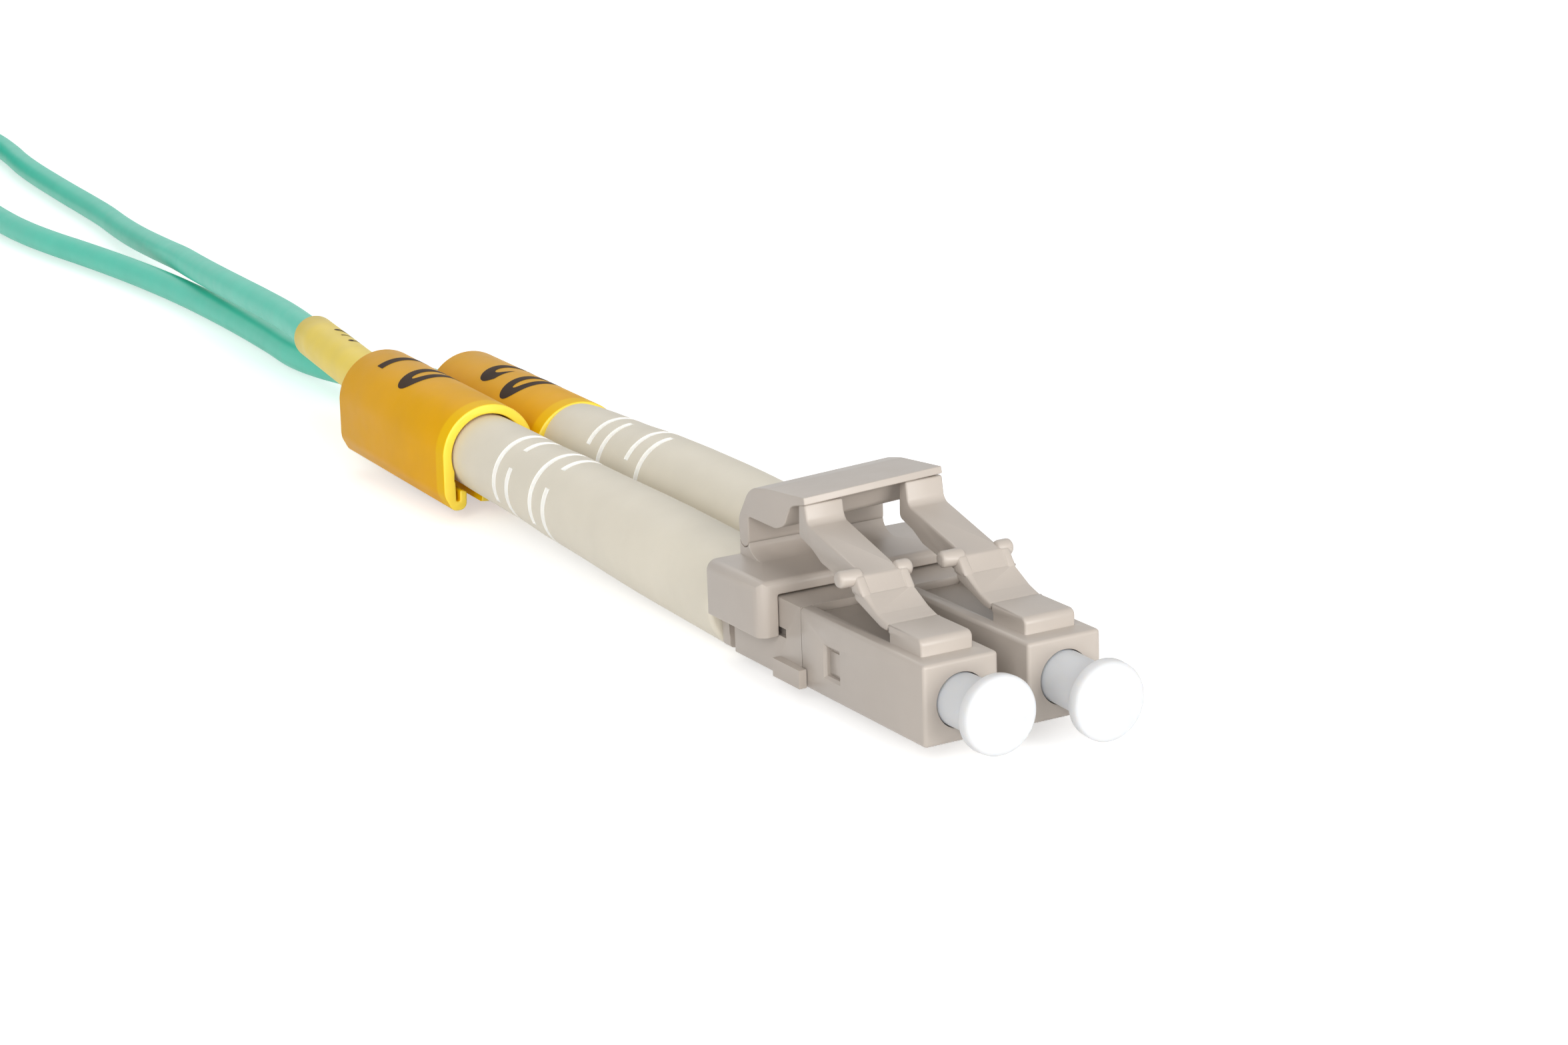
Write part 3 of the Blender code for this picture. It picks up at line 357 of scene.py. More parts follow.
colours = {
    "housing": (0.47, 0.418, 0.37),
    "boot": (0.765, 0.712, 0.595),
    # slot: painted light inside the boots' slots
    "slot": (0.95, 0.94, 0.90),
    "marker": (0.79, 0.395, 0.0),
    # band: painted glow near the markers' front rims
    "band": (0.85, 0.50, 0.0),
    # rim: painted glow on the markers' front end faces
    "rim": (0.97, 0.70, 0.06),
    "label": (0.90, 0.677, 0.06),
    "cord": (0.07, 0.64, 0.47),
    "cap": (0.65, 0.66, 0.675),
    "ink": (0.04, 0.022, 0.012),
    "ceramic": (0.85, 0.85, 0.83),
    "nickel": (0.62, 0.60, 0.55),
    "steel": (0.60, 0.60, 0.61),
    "buffer": (0.80, 0.80, 0.78),
    "tie": (0.022, 0.022, 0.024),
}
housingPlastic = plastic("housingPlastic", colours["housing"], 0.36, 0.02, 0.08, 0.08)
bootRubber = plastic("bootRubber", colours["boot"], 0.52, 0.03, 0.12, 0.12)
# painted light on the faces inside the boots' slots
slotRubber = plastic("slotRubber", colours["slot"], 0.6, 0.02, 0.06, 0.2)
markerPlastic = translucentClip("markerPlastic", colours["band"], colours["marker"], 0.42, 0.075)
labelFilm = plastic("labelFilm", colours["label"], 0.42, 0.05, 0.12, 0.05)
capPlastic = plastic("capPlastic", colours["cap"], 0.4, 0.01, 0.05, 0.9)
capShader = capPlastic.node_tree.nodes["Principled BSDF"]
capShader.inputs["Specular IOR Level"].default_value = 0.1
capShader.inputs["Subsurface Scale"].default_value = 1.8 * mm       # light goes deep into the caps
# painted glow on the markers' front end faces
markerRim = plastic("markerRim", colours["rim"], 0.38, 0.04, 0.06, 0.3)
inkPrint = plastic("inkPrint", colours["ink"], 0.6, 0.3, 0.05)
inkPrint.node_tree.nodes["Principled BSDF"].inputs["Specular IOR Level"].default_value = 0.1
ceramic = plastic("ceramic", colours["ceramic"], 0.14, 0.01, 0.01)
bufferPlastic = plastic("bufferPlastic", colours["buffer"], 0.4, 0.02, 0.05)
cordJacket = plastic("cordJacket", colours["cord"], 0.40, 0.04, 0.10, 0.05)
nickelPlate = metal("nickelPlate", colours["nickel"], 0.28, (1, 20, 1))
springSteel = metal("springSteel", colours["steel"], 0.22, (1, 1, 1))
tieFabric = plastic("tieFabric", colours["tie"], 0.85, 0.4, 0.6)
print("materials done")


# Camera, light and floor

camera = {
    "azimuth": -29.464, "elevation": 15.859, "roll": -1.876,   # degrees
    "distance": 172.0, "right": -11.601, "up": 8.378,          # from the plugs' front faces
    "focalPixels": 5108.8, "pictureWidth": 2352, "sensor": 36.0,
}


def placeCamera():
    azimuth, elevation, roll = (math.radians(camera[key]) for key in ("azimuth", "elevation", "roll"))
    outward = math.cos(elevation)
    back = Vector((math.sin(azimuth) * outward, -math.cos(azimuth) * outward, math.sin(elevation)))
    level = Vector((math.cos(azimuth), math.sin(azimuth), 0))
    upright = back.cross(level)
    right = level * math.cos(roll) + upright * math.sin(roll)
    up = upright * math.cos(roll) - level * math.sin(roll)
    data = bpy.data.cameras.new("camera")
    data.sensor_width = camera["sensor"]
    data.lens = camera["sensor"] * camera["focalPixels"] / camera["pictureWidth"]
    data.clip_start = 0.01
    thing = bpy.data.objects.new("camera", data)
    bpy.context.collection.objects.link(thing)
    turn = Matrix((right, up, back)).transposed().to_4x4()
    place = back * camera["distance"] + right * camera["right"] + up * camera["up"]
    place += Vector((0, facePlace, axisHeight))
    thing.matrix_world = Matrix.Translation(place * mm) @ turn
    bpy.context.scene.camera = thing


lights = {
    # name: place in mm from the plugs, watts
    "front": ((60, -460, 120), 1.5),
    "left": ((-300, -330, 200), 1.2),
    "top": ((0, 0, 480), 0.1),
    "back": ((60, 320, 300), 0.25),
}
lamp = {"size": 300, "aim": (0, 20, 0), "colour": (1.0, 0.995, 0.985)}      # mm
room = {
    "light": 0.34, "seen": 1.0, "floorGlow": 0.55,
    "floorSize": 4.0,       # m
    "floorDrop": 0.22,      # mm, clear of the lower marker's hook
}


def placeLights():
    for name, (place, power) in lights.items():
        data = bpy.data.lights.new(name, "AREA")
        data.shape = "DISK"
        data.size = lamp["size"] * mm
        data.energy = power
        data.color = lamp["colour"]
        thing = bpy.data.objects.new(name, data)
        bpy.context.collection.objects.link(thing)
        thing.location = Vector(place) * mm
        toAim = Vector(lamp["aim"]) * mm - thing.location
        thing.rotation_euler = toAim.to_track_quat("-Z", "Y").to_euler()


# one for the rays of the camera, of gloss and of glass, and nought for the light on the object
def seenRays(tree):
    path = tree.nodes.new("ShaderNodeLightPath")
    total = path.outputs["Is Camera Ray"]
    for kind in ("Is Glossy Ray", "Is Transmission Ray"):
        larger = tree.nodes.new("ShaderNodeMath")
        larger.operation = "MAXIMUM"
        tree.links.new(total, larger.inputs[0])
        tree.links.new(path.outputs[kind], larger.inputs[1])
        total = larger.outputs[0]
    return total


# the room is plain white where it is seen, and a soft grey light on the object
def whiteWorld():
    world = bpy.data.worlds.new("room")
    world.use_nodes = True
    tree = world.node_tree
    background = tree.nodes["Background"]
    strength = tree.nodes.new("ShaderNodeMapRange")
    strength.inputs["To Min"].default_value = room["light"]
    strength.inputs["To Max"].default_value = room["seen"]
    tree.links.new(seenRays(tree), strength.inputs["Value"])
    tree.links.new(strength.outputs["Result"], background.inputs["Strength"])
    background.inputs["Color"].default_value = (1, 1, 1, 1)
    bpy.context.scene.world = world


def layFloor():
    material, shader = shaderMaterial("floorPaper", (0.93, 0.93, 0.93), 0.8)
    greys = [(0.4, (0.925, 0.925, 0.925)), (0.6, (0.935, 0.935, 0.935))]
    cloud = ramp(material, noise(material, 30, 2), greys)
    tree = material.node_tree
    tree.links.new(cloud, shader.inputs["Base Color"])
    tree.links.new(cloud, shader.inputs["Emission Color"])
    glow = tree.nodes.new("ShaderNodeMath")
    glow.operation = "MULTIPLY"
    glow.inputs[1].default_value = room["floorGlow"]
    tree.links.new(seenRays(tree), glow.inputs[0])
    tree.links.new(glow.outputs[0], shader.inputs["Emission Strength"])
    bpy.ops.object.select_all(action="DESELECT")
    height = cadBounds[0][2] - room["floorDrop"] * mm
    bpy.ops.mesh.primitive_plane_add(size=room["floorSize"], location=(0, 0, height))
    floor = bpy.context.object
    floor.name = "floor"
    floor.data.materials.append(material)


placeCamera()
placeLights()
whiteWorld()
layFloor()
bpy.context.scene.view_settings.view_transform = "Standard"
print("camera and light done")


# Cords

cordSizes = {
    "diameter": 2.2, "spacing": 7.0, "floorGap": 0.1,
    "length": 0.94,         # m
    "bootEnd": 62.07,       # where the legs leave the boots
    "hankStart": 225.0, "hankLength": 55.8, "hankWidth": 20.2,
    "laps": 5, "turnPoints": 8,
    "tieThickness": 0.8, "tiePlay": 0.05,
}
labelRun = ((-3.02, 71.3, 1.85), (-0.65, 89.9, 2.08))      # leg a is straight under its label


def catmullRom(corners, knots, at):
    level = list(corners)
    for span in (1, 2):
        level = [
            level[place].lerp(level[place + 1], (at - knots[place]) / (knots[place + span] - knots[place]))
            for place in range(len(level) - 1)
        ]
    return level[0].lerp(level[1], (at - knots[1]) / (knots[2] - knots[1]))


# points of a centripetal curve through the route's points, about the spacing apart
def smooth(route, spacing):
    route = [Vector(point) for point in route]
    line = [2 * route[0] - route[1]] + route + [2 * route[-1] - route[-2]]
    fine = []
    for corners in zip(line, line[1:], line[2:], line[3:]):
        knots = [0]
        for start, end in zip(corners, corners[1:]):
            knots.append(knots[-1] + math.sqrt((end - start).length))
        steps = max(4, int((corners[2] - corners[1]).length / spacing * 8))
        first, stretch = knots[1], knots[2] - knots[1]
        fine += [catmullRom(corners, knots, first + stretch * step / steps) for step in range(steps)]
    return fine + [route[-1]]


def spaced(fine, spacing):
    length = sum((end - start).length for start, end in zip(fine, fine[1:]))
    count = max(2, round(length / spacing))
    points, walked, wanted = [fine[0]], 0, length / count
    for start, end in zip(fine, fine[1:]):
        stretch = (end - start).length
        while walked + stretch >= wanted and len(points) < count:
            points.append(start.lerp(end, (wanted - walked) / stretch))
            wanted += length / count
        walked += stretch
    return points + [fine[-1]]


left, right = -layout["plugPitch"] / 2, layout["plugPitch"] / 2
cordRadius = cordSizes["diameter"] / 2
onFloor = cordRadius + cordSizes["floorGap"] - axisHeight
firstRow = cordSizes["tieThickness"] + cordSizes["tiePlay"] + cordRadius - axisHeight
topRow = firstRow + cordSizes["laps"] * cordSizes["diameter"]
farHank = layout["farFace"] - cordSizes["hankStart"] - cordSizes["hankLength"]


def tailZ(y, letter):
    return (y - layout["tailStart"]) * math.tan(math.radians(layout["tailTilts"][letter]))


# the legs' routes, from inside the boots to the hank
nearRoutes = {
    "a": [
        (left, 44, tailZ(44, "a")), (left, 54.07, tailZ(54.07, "a")), (left, 63.07, 1.28),
        labelRun[0], (-2.30, 77, 1.92), (-1.40, 84, 2.01), labelRun[1], (0.75, 99.3, 1.85),
        (2.0, 112, 1.45), (3.4, 123, 0.85), (5.0, 133.5, 0.2),
        (6.7, 144, -0.75), (8.4, 156.5, -1.5), (9.9, 167.8, onFloor),
        (10.9, 181.3, onFloor), (12.3, 197.4, onFloor), (14.3, 212.5, onFloor),
        (14.1, 221, onFloor + 0.55), (13.3, 228.2, onFloor + 0.85),
    ],
    "b": [
        (right, 44, tailZ(44, "b")), (right, 54.07, tailZ(54.07, "b")), (right, 64.07, 0.74),
        (3.05, 78, 0.35), (2.5, 90, -1.1), (2.2, 100, onFloor),
        (2.8, 109, onFloor), (3.25, 119, onFloor), (3.35, 130, onFloor),
        (2.9, 141, onFloor), (2.1, 151, onFloor), (1.2, 161, onFloor),
        (1.3, 172, onFloor), (3.0, 187, onFloor), (6.6, 203, onFloor),
        (10.2, 216, onFloor + 0.45), (11.0, 226.3, onFloor + 0.85),
    ],
}
# and in the far plugs' frame, from inside their boots back to the hank
farRoutes = {
    "a": [
        (left, 44, tailZ(44, "a")), (left, 54.07, tailZ(54.07, "a")), (left - 0.1, 64.07, 1.3),
        (left - 0.7, 78, 2.1), (-5.4, 89, 4.2), (-7.3, 100, 7.4),
        (-8.7, farHank - 2, 9.6), (-9.0, farHank + 3.1, topRow),
    ],
    "b": [
        (right, 44, tailZ(44, "b")), (right, 54.07, tailZ(54.07, "b")), (right - 0.1, 64.07, 0.78),
        (right - 0.9, 78, 1.5), (-0.6, 89, 4.1), (-4.0, 100, 7.4),
        (-6.2, farHank - 3, 9.5), (-6.7, farHank + 1.0, topRow),
    ],
}
hankRadii = {"a": 9.0, "b": 6.8}
rampEnd = 120      # degrees of the near fold, over which a lap climbs to the next row


# laps up the right side and down the left, each one row higher past the near fold
def hankPath(radius):
    x = layout["farOffset"]
    low = cordSizes["hankStart"] + cordSizes["hankWidth"] / 2
    high = cordSizes["hankStart"] + cordSizes["hankLength"] - cordSizes["hankWidth"] / 2
    steps = cordSizes["turnPoints"]
    points = []
    for lap in range(cordSizes["laps"] + 1):
        row = firstRow + lap * cordSizes["diameter"]
        points += [(x + radius, low + (high - low) * share, row) for share in (0, 0.33, 0.67, 1)]
        if lap == cordSizes["laps"]:
            break
        points += [(x + turn.x, high + turn.y, row) for turn in arc((0, 0), radius, 0, 180, steps)[1:]]
        points += [(x - radius, high + (low - high) * share, row) for share in (0.33, 0.67, 1)]
        for step, turn in enumerate(arc((0, 0), radius, 180, 360, steps)[1:-1], 1):
            share = min(1, step * 180 / steps / rampEnd)
            rise = cordSizes["diameter"] * share * share * (3 - 2 * share)
            points.append((x + turn.x, low + turn.y, row + rise))
    return points


def layCord(name, letter):
    near = spaced(smooth(nearRoutes[letter], cordSizes["spacing"]), cordSizes["spacing"])
    far = spaced(smooth(farRoutes[letter], cordSizes["spacing"]), cordSizes["spacing"])
    points = [nearEnd @ Vector(point) for point in near + hankPath(hankRadii[letter])]
    points += [farEnd @ Vector(point) for point in reversed(far)]
    curve = bpy.data.curves.new(name, "CURVE")
    curve.dimensions = "3D"
    curve.resolution_u = 6
    curve.bevel_depth = cordRadius * mm
    curve.bevel_resolution = 5
    curve.use_fill_caps = True
    spline = curve.splines.new("BEZIER")
    spline.bezier_points.add(len(points) - 1)
    for knot, point in zip(spline.bezier_points, points):
        knot.co = point * mm
        knot.handle_left_type = knot.handle_right_type = "AUTO"
    piece = bpy.data.objects.new(name, curve)
    bpy.context.collection.objects.link(piece)
    curve.materials.append(cordJacket)
    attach(piece, "cord_set")
    return piece


cords = {letter: layCord(f"cordLeg{letter.upper()}", letter) for letter in ("a", "b")}
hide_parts("cord_leg_a", "far_cord_leg_a", "cord_hank")
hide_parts("cord_leg_b", "far_cord_leg_b")
onFarPlug = {"a": [], "b": []}     # what rides on each leg's far end
print("cords done")


# Front housings, each with the block that its latch is hinged in

housing = {
    "width": 4.46, "height": 4.36, "length": 12.05, "longEdge": 0.22, "frontEdge": 0.4,
    "bore": 2.98, "boreDepth": 5.2, "cavity": 3.0, "throat": 1.7, "shoulder": 1.0,
    "windowStart": 8.3, "windowLength": 1.4, "windowLow": -0.95, "windowHigh": 0.65, "windowMouth": 0.14,
    "troughWidth": 3.0, "troughDepth": 0.45, "troughCorner": 0.25,
}
latchBlock = {
    "start": 1.25, "length": 3.1, "rise": 0.90, "width": 3.1, "corner": 0.38, "lip": 0.1, "edge": 0.15,
    "pivotBehind": 0.35, "pivotRise": 0.77, "rootPlay": 0.04,
}
pivot = (
    latchBlock["start"] + latchBlock["length"] + latchBlock["pivotBehind"],
    housing["height"] / 2 + latchBlock["pivotRise"],
)
latchRoot = 0.25       # half the latch's thickness at its root
past = 0.4             # how far a cutter runs past a face


def modelHousing():
    half, top, length = housing["width"] / 2, housing["height"] / 2, housing["length"]
    piece = block("housing", (-half, 0, -top), (half, length, top))
    bevelWhere(piece, housing["longEdge"], 3, lambda one, two: abs(one.y - two.y) > 1)
    bevelWhere(piece, housing["frontEdge"], 4, lambda one, two: one.y < 0.001 and two.y < 0.001)
    rear = latchBlock["start"] + latchBlock["length"]
    across, floor = housing["troughWidth"] / 2, top - housing["troughDepth"]
    trough = [
        (-across, top + past), (-across, floor, housing["troughCorner"]),
        (across, floor, housing["troughCorner"]), (across, top + past)]
    combine(piece, slab("trough", rounded(trough), alongY, rear, length + past))
    roof = top + latchBlock["rise"]
    lip = rear + latchBlock["lip"]
    side = [
        (latchBlock["start"], top - past), (latchBlock["start"], roof, latchBlock["corner"]),
        (lip, roof, 0.02), (lip, roof - 0.4, 0.08), (rear - 0.02, roof - 0.5), (rear - 0.02, top - past)]
    reach = latchBlock["width"] / 2
    combine(piece, slab("latchBlock", rounded(side), alongX, -reach, reach, latchBlock["edge"]), "UNION")
    socket = arc(pivot, latchRoot + latchBlock["rootPlay"], 0, 345, 23)
    combine(piece, slab("socket", socket, alongX, -reach - past, reach + past))
    low, high = housing["windowLow"], housing["windowHigh"]
    start, end = housing["windowStart"], housing["windowStart"] + housing["windowLength"]
    combine(piece, block("window", (-half - past, start, low), (half + past, end, high)))
    mouth = housing["windowMouth"]
    for side in (-1, 1):
        cut = block("windowMouth", (-mouth, start - mouth, low - mouth), (mouth, end + mouth, high + mouth))
        cut.data.transform(Matrix.Translation((side * half, 0, 0)))
        bevelWhere(cut, mouth * 0.98, 1, lambda one, two: one.x * side < half and two.x * side < half)
        combine(piece, cut)
    seat = housing["boreDepth"] + housing["shoulder"]
    for radius, start, end in (
        (housing["bore"] / 2, -past, housing["boreDepth"]), (housing["throat"] / 2, 0, seat + past),
        (housing["cavity"] / 2, seat, length + past),
    ):
        combine(piece, slab("bore", arc((0, 0), radius, 0, 352.5, 47), alongY, start, end))
    soften(piece, 0.05)
    smoothLook(piece)
    return piece


# Latch arms, their places from the hinge

arm = {
    "frontHalf": 1.55, "tailHalf": 1.175, "webHalf": 1.62, "edge": 0.13,
    "earLeft": 2.46, "earRight": 1.98, "earInner": 1.0, "earPlace": 3.15, "earRise": 1.8, "earRadius": 0.46,
    "tipLifts": {"a": 0.0, "b": 0.25},
}


def modelLatchArm(tipLift):
    root = arc((0, 0), latchRoot, 270, 190, 6)[1:]
    front = rounded([
        (-0.235, 0.125), (-0.05, 0.175), (0.25, 0.26, 0.8), (0.72, 0.42, 0.8), (2.05, 1.1, 0.4),
        (3.0, 1.35, 0.3), (3.0, 0.67, 0.3), (0.5, -0.2, 0.5), (0, -latchRoot)]) + root
    piece = slab("latchArm", front, alongX, -arm["frontHalf"], arm["frontHalf"], arm["edge"])
    rear = rounded([
        (1.7, 0.85, 0.1), (2.02, 1.0, 0.12), (2.7, 1.92, 0.3), (8.25, 3.4, 0.6),
        (8.45, 4.41 + tipLift, 0.12), (9.15, 4.41 + tipLift, 0.3), (9.2, 2.5, 0.4), (7.9, 2.1, 0.5),
        (6.9, 1.55, 0.5), (3.9, 0.9, 0.5), (2.0, 0.32, 0.1)])
    combine(piece, slab("tail", rear, alongX, -arm["tailHalf"], arm["tailHalf"], arm["edge"]), "UNION")
    place, rise, radius = arm["earPlace"], arm["earRise"], arm["earRadius"]
    web = rounded([
        (place - 1.25, rise - 0.85, 0.1), (place - 0.5, rise + 0.1, 0.3), (place + 0.1, rise + 0.3, 0.2),
        (place + 0.42, rise - 0.2, 0.3), (place - 0.1, rise - 0.9, 0.3)])
    for side in (-1, 1):
        reach = arm["earLeft"] if side < 0 else arm["earRight"]
        for outline, far, edge in (
            (arc((place, rise), radius, 0, 345, 23), reach, 0.24), (web, arm["webHalf"], 0.2),
        ):
            low, high = sorted((side * arm["earInner"], side * far))
            combine(piece, slab("ear", outline, alongX, low, high, edge), "UNION")
    piece.data.transform(Matrix.Translation((0, *pivot)))
    soften(piece, 0.06)
    smoothLook(piece)
    return piece


# Dust caps

cap = {
    "head": 4.2, "thickness": 0.9, "edge": 0.3, "gap": 2.6,
    "stem": 2.86, "depth": 4.6, "bore": 1.45, "boreEnd": -1.3, "tipEdge": 0.15,
    "pulled": {"a": 0.25, "b": 0.65}, "raised": {"a": 0.19, "b": -0.26},
}


# a cap that stands a little out of its bore, its head bent up or down
def modelDustCap(pulled, raised):
    head, stem, bore, edge = cap["head"] / 2, cap["stem"] / 2, cap["bore"] / 2, cap["edge"]
    back = -cap["gap"] - pulled
    front = back - cap["thickness"]
    profile = [(0, front)] + arc((head - edge, front + edge), edge, 270, 360, 6)
    profile += arc((head - edge / 2, back - edge / 2), edge / 2, 0, 90, 4)
    profile += arc((head - edge, back + head - edge - stem), head - edge - stem, 270, 180, 8)
    depth, tipEdge = cap["depth"], cap["tipEdge"]
    profile += [(stem, back + 1.2), (stem, back + 1.8), (stem, 0)]      # rings for the bend
    profile += [(stem, depth - tipEdge), (stem - tipEdge, depth), (bore, depth)]
    profile += [(bore, cap["boreEnd"]), (0, cap["boreEnd"])]
    piece = turned("dustCap", profile, 72)
    for point in piece.data.vertices:
        out = max(0, point.co.y / front)
        point.co.z += raised * out ** 1.5
    smoothLook(piece, 50)
    return piece


# Boots, in the tail's own frame from their fronts

boot = {
    "length": 41.1, "edge": 0.28, "ring": 0.75,
    "crimpBore": 4.1, "crimpDepth": 8.1, "bore": 2.5, "taper": 5.0,
    "radii": ((0, 2.93), (9.1, 2.93), (22.0, 2.73), (27.1, 2.59), (41.1, 2.45)),
    "slots": (21.1, 22.9, 26.4, 28.2), "slotWidth": 0.52, "slotDepth": 0.24, "bridge": 30,
    "turns": {"a": 133, "b": 75},
    # how far b's axis rises over its straight line, by the place along it
    "bow": (
        (0, 0), (9, 0.55), (18, 0.79), (22.7, 0.73), (27.9, 0.6), (33.3, 0.4), (37, 0.0), (41.1, -0.15),
    ),
    "bowPast": (60, -0.5),      # gives the bow its slope at the rear end
}


def bootRadius(place):
    for (start, first), (end, last) in zip(boot["radii"], boot["radii"][1:]):
        if place <= end:
            share = (place - start) / (end - start)
            return first + (last - first) * share * share * (3 - 2 * share)
    return boot["radii"][-1][1]


def bootBow(place):
    knots = [boot["bow"][0], *boot["bow"], boot["bowPast"]]
    for corners in zip(knots, knots[1:], knots[2:], knots[3:]):
        if place <= corners[2][0]:
            span = corners[2][0] - corners[1][0]
            share = (place - corners[1][0]) / span
            slopes = [
                (late[1] - early[1]) / (late[0] - early[0]) * span
                for early, late in ((corners[0], corners[2]), (corners[1], corners[3]))
            ]
            return (
                corners[1][1] * (1 + 2 * share) * (1 - share) ** 2 + slopes[0] * share * (1 - share) ** 2
                + corners[2][1] * share ** 2 * (3 - 2 * share) - slopes[1] * share ** 2 * (1 - share))
    return boot["bow"][-1][1]


def modelBoot(turn, bowed):
    length, edge, ring = boot["length"], boot["edge"], boot["ring"]
    front, rear = bootRadius(0), bootRadius(length)
    profile = [tuple(point) for point in arc((front - edge, edge), edge, 270, 360, 5)]
    profile += [(bootRadius(step * ring), step * ring) for step in range(1, round(length / ring) - 1)]
    profile += [tuple(point) for point in arc((rear - edge, length - edge), edge, 0, 90, 5)]
    profile += [
        (boot["bore"] / 2, length), (boot["bore"] / 2, boot["crimpDepth"] + boot["taper"]),
        (boot["crimpBore"] / 2, boot["crimpDepth"]), (boot["crimpBore"] / 2, 0), profile[0]]
    piece = turned("boot", profile, 96)
    for row, place in enumerate(boot["slots"]):
        for side in (0, 180):
            centre = turn + row % 2 * 90 + side
            start, end = centre + boot["bridge"] / 2, centre + 180 - boot["bridge"] / 2
            inner = bootRadius(place) - boot["slotDepth"]
            band = arc((0, 0), front + past, start, end, 40) + arc((0, 0), inner, end, start, 40)
            cut = slab("slot", band, alongY, place - boot["slotWidth"] / 2, place + boot["slotWidth"] / 2)
            combine(piece, cut)
    piece.data.materials.clear()
    piece.data.materials.append(bootRubber)
    piece.data.materials.append(slotRubber)
    # the faces inside the slots get the painted light
    for face in piece.data.polygons:
        near = min(abs(face.center.y - place) for place in boot["slots"])
        radius = math.hypot(face.center.x, face.center.z)
        inside = near < boot["slotWidth"] * 0.6 and radius < bootRadius(face.center.y) - 0.03
        face.material_index = 1 if inside and radius > boot["crimpBore"] / 2 - 0.3 else 0
    if bowed:
        for point in piece.data.vertices:
            point.co.z += bootBow(point.co.y)
    smoothLook(piece, 30)
    return piece


# Marker clips, in the tail's own frame

marker = {
    "start": 34.2, "length": 16.8, "inner": 2.56, "wall": 0.63, "edge": 0.13,
    "shift": 0.06, "drops": {"a": -0.1, "b": 0.24},
    "hookDrop": 3.47, "hookSide": 2.4, "hookFoot": 0.55, "tipThickness": 0.5, "notch": 0.2,
    "slit": 12,      # degrees
}
markerOuter = marker["inner"] + marker["wall"]


def modelMarker():
    inner, outer, wall, drop = marker["inner"], markerOuter, marker["wall"], marker["hookDrop"]
    slitEnd = -90 - marker["slit"]
    left = -outer + marker["hookFoot"]                       # where the hook's foot turns up
    tip = left + wall * 0.5 + marker["notch"] + marker["tipThickness"]
    hook = rounded([
        (-outer, 0), (-outer, -marker["hookSide"], wall * 2), (left, -drop, wall * 0.9),
        (tip - 0.05, -drop, wall * 0.75), (tip, -inner * 0.9, 0.12),
        (tip - marker["tipThickness"], -inner * 0.82, 0.12),
        (tip - marker["tipThickness"] - 0.02, -drop + wall, 0.08), (left + wall * 0.42, -drop + wall, 0.08),
        (-inner * 0.93, -inner * 0.62, 0.5)])
    outline = arc((0, 0), outer, 180, slitEnd, 56)[1:] + arc((0, 0), inner, slitEnd, 200, 56)
    outline += hook[1:][::-1]
    end = marker["start"] + marker["length"]
    piece = slab("marker", outline, alongY, marker["start"], end, marker["edge"])
    piece.data.materials.append(markerPlastic)
    piece.data.materials.append(markerRim)
    # the front end faces get the painted glow
    for face in piece.data.polygons:
        face.material_index = 1 if face.normal.y < -0.4 else 0
    along = piece.data.attributes.new("along", "FLOAT", "POINT")
    for point, value in zip(piece.data.vertices, along.data):
        value.value = (point.co.y - marker["start"]) / marker["length"]
    smoothLook(piece, 50)
    return piece


# Print wrapped round a cylinder: the characters' tops point left, and they run to the rear

prints = {
    "printA": {
        "text": "01", "size": 6.6, "first": 43.4, "pitch": 4.4, "top": 39.0, "turn": -12.0, "bold": 0.24,
    },
    "printB": {
        "text": "02", "size": 6.6, "first": 41.0, "pitch": 4.0, "top": 44.0, "turn": -10.0, "bold": 0.24,
    },
    "printLabel": {
        "text": "210", "size": 2.2, "first": 10.0, "pitch": 1.8, "top": -4.0, "turn": 0.0, "bold": 0.05,
    },
}
printing = {"lift": 0.012, "width": 0.72, "slice": 0.2}


def modelPrint(text, size, first, pitch, top, turn, bold, radius):
    whole = None
    for place, character in enumerate(text):
        bpy.ops.object.select_all(action="DESELECT")
        bpy.ops.object.text_add()
        glyph = bpy.context.object
        glyph.data.body = character
        glyph.data.size = size
        glyph.data.offset = bold
        glyph = asMesh(glyph)
        xs, ys = ([point.co[axis] for point in glyph.data.vertices] for axis in (0, 1))
        middle, upper = (min(xs) + max(xs)) / 2, max(ys)
        bpy.ops.object.mode_set(mode="EDIT")
        for line in range(-2, round(size / printing["slice"])):
            bpy.ops.mesh.select_all(action="SELECT")
            bpy.ops.mesh.bisect(plane_co=(0, line * printing["slice"], 0), plane_no=(0, 1, 0))
        bpy.ops.object.mode_set(mode="OBJECT")
        for point in glyph.data.vertices:
            angle = math.radians(top + turn * place) + (point.co.y - upper) / radius
            y = first + place * pitch + (point.co.x - middle) * printing["width"]
            out = radius + printing["lift"]
            point.co = (-out * math.sin(angle), y, out * math.cos(angle))
        if whole:
            only(whole)
            glyph.select_set(True)
            bpy.ops.object.join()
        else:
            whole = glyph
    weld(whole)
    return whole


# The label round the near leg a, in its own frame along the leg

labelSizes = {"inner": 1.3, "outer": 1.57, "edge": 0.09}
labelLine = Vector(labelRun[1]) - Vector(labelRun[0])
labelTurn = labelLine.to_track_quat("Y", "Z").to_matrix().to_4x4()
labelPlace = nearEnd @ Matrix.Translation(labelRun[0]) @ labelTurn


def modelLabel():
    inner, outer, edge = labelSizes["inner"], labelSizes["outer"], labelSizes["edge"]
    length = labelLine.length
    profile = [(inner, 0), (outer - edge, 0), (outer, edge)]
    profile += [(outer, length * step / 6) for step in range(1, 6)]
    profile += [(outer, length - edge), (outer - edge, length), (inner, length), (inner, 0)]
    piece = turned("label", profile, 64)
    smoothLook(piece, 50)
    return piece


# Rear bodies: a rounded copy of the CAD solid, with its side windows filled

rearBody = {
    "windowRecess": 0.35, "windowGap": 0.02,
    "ribFront": 19.99, "ribRear": 20.79, "ribCorner": 0.3, "ribEdge": 0.04,
}


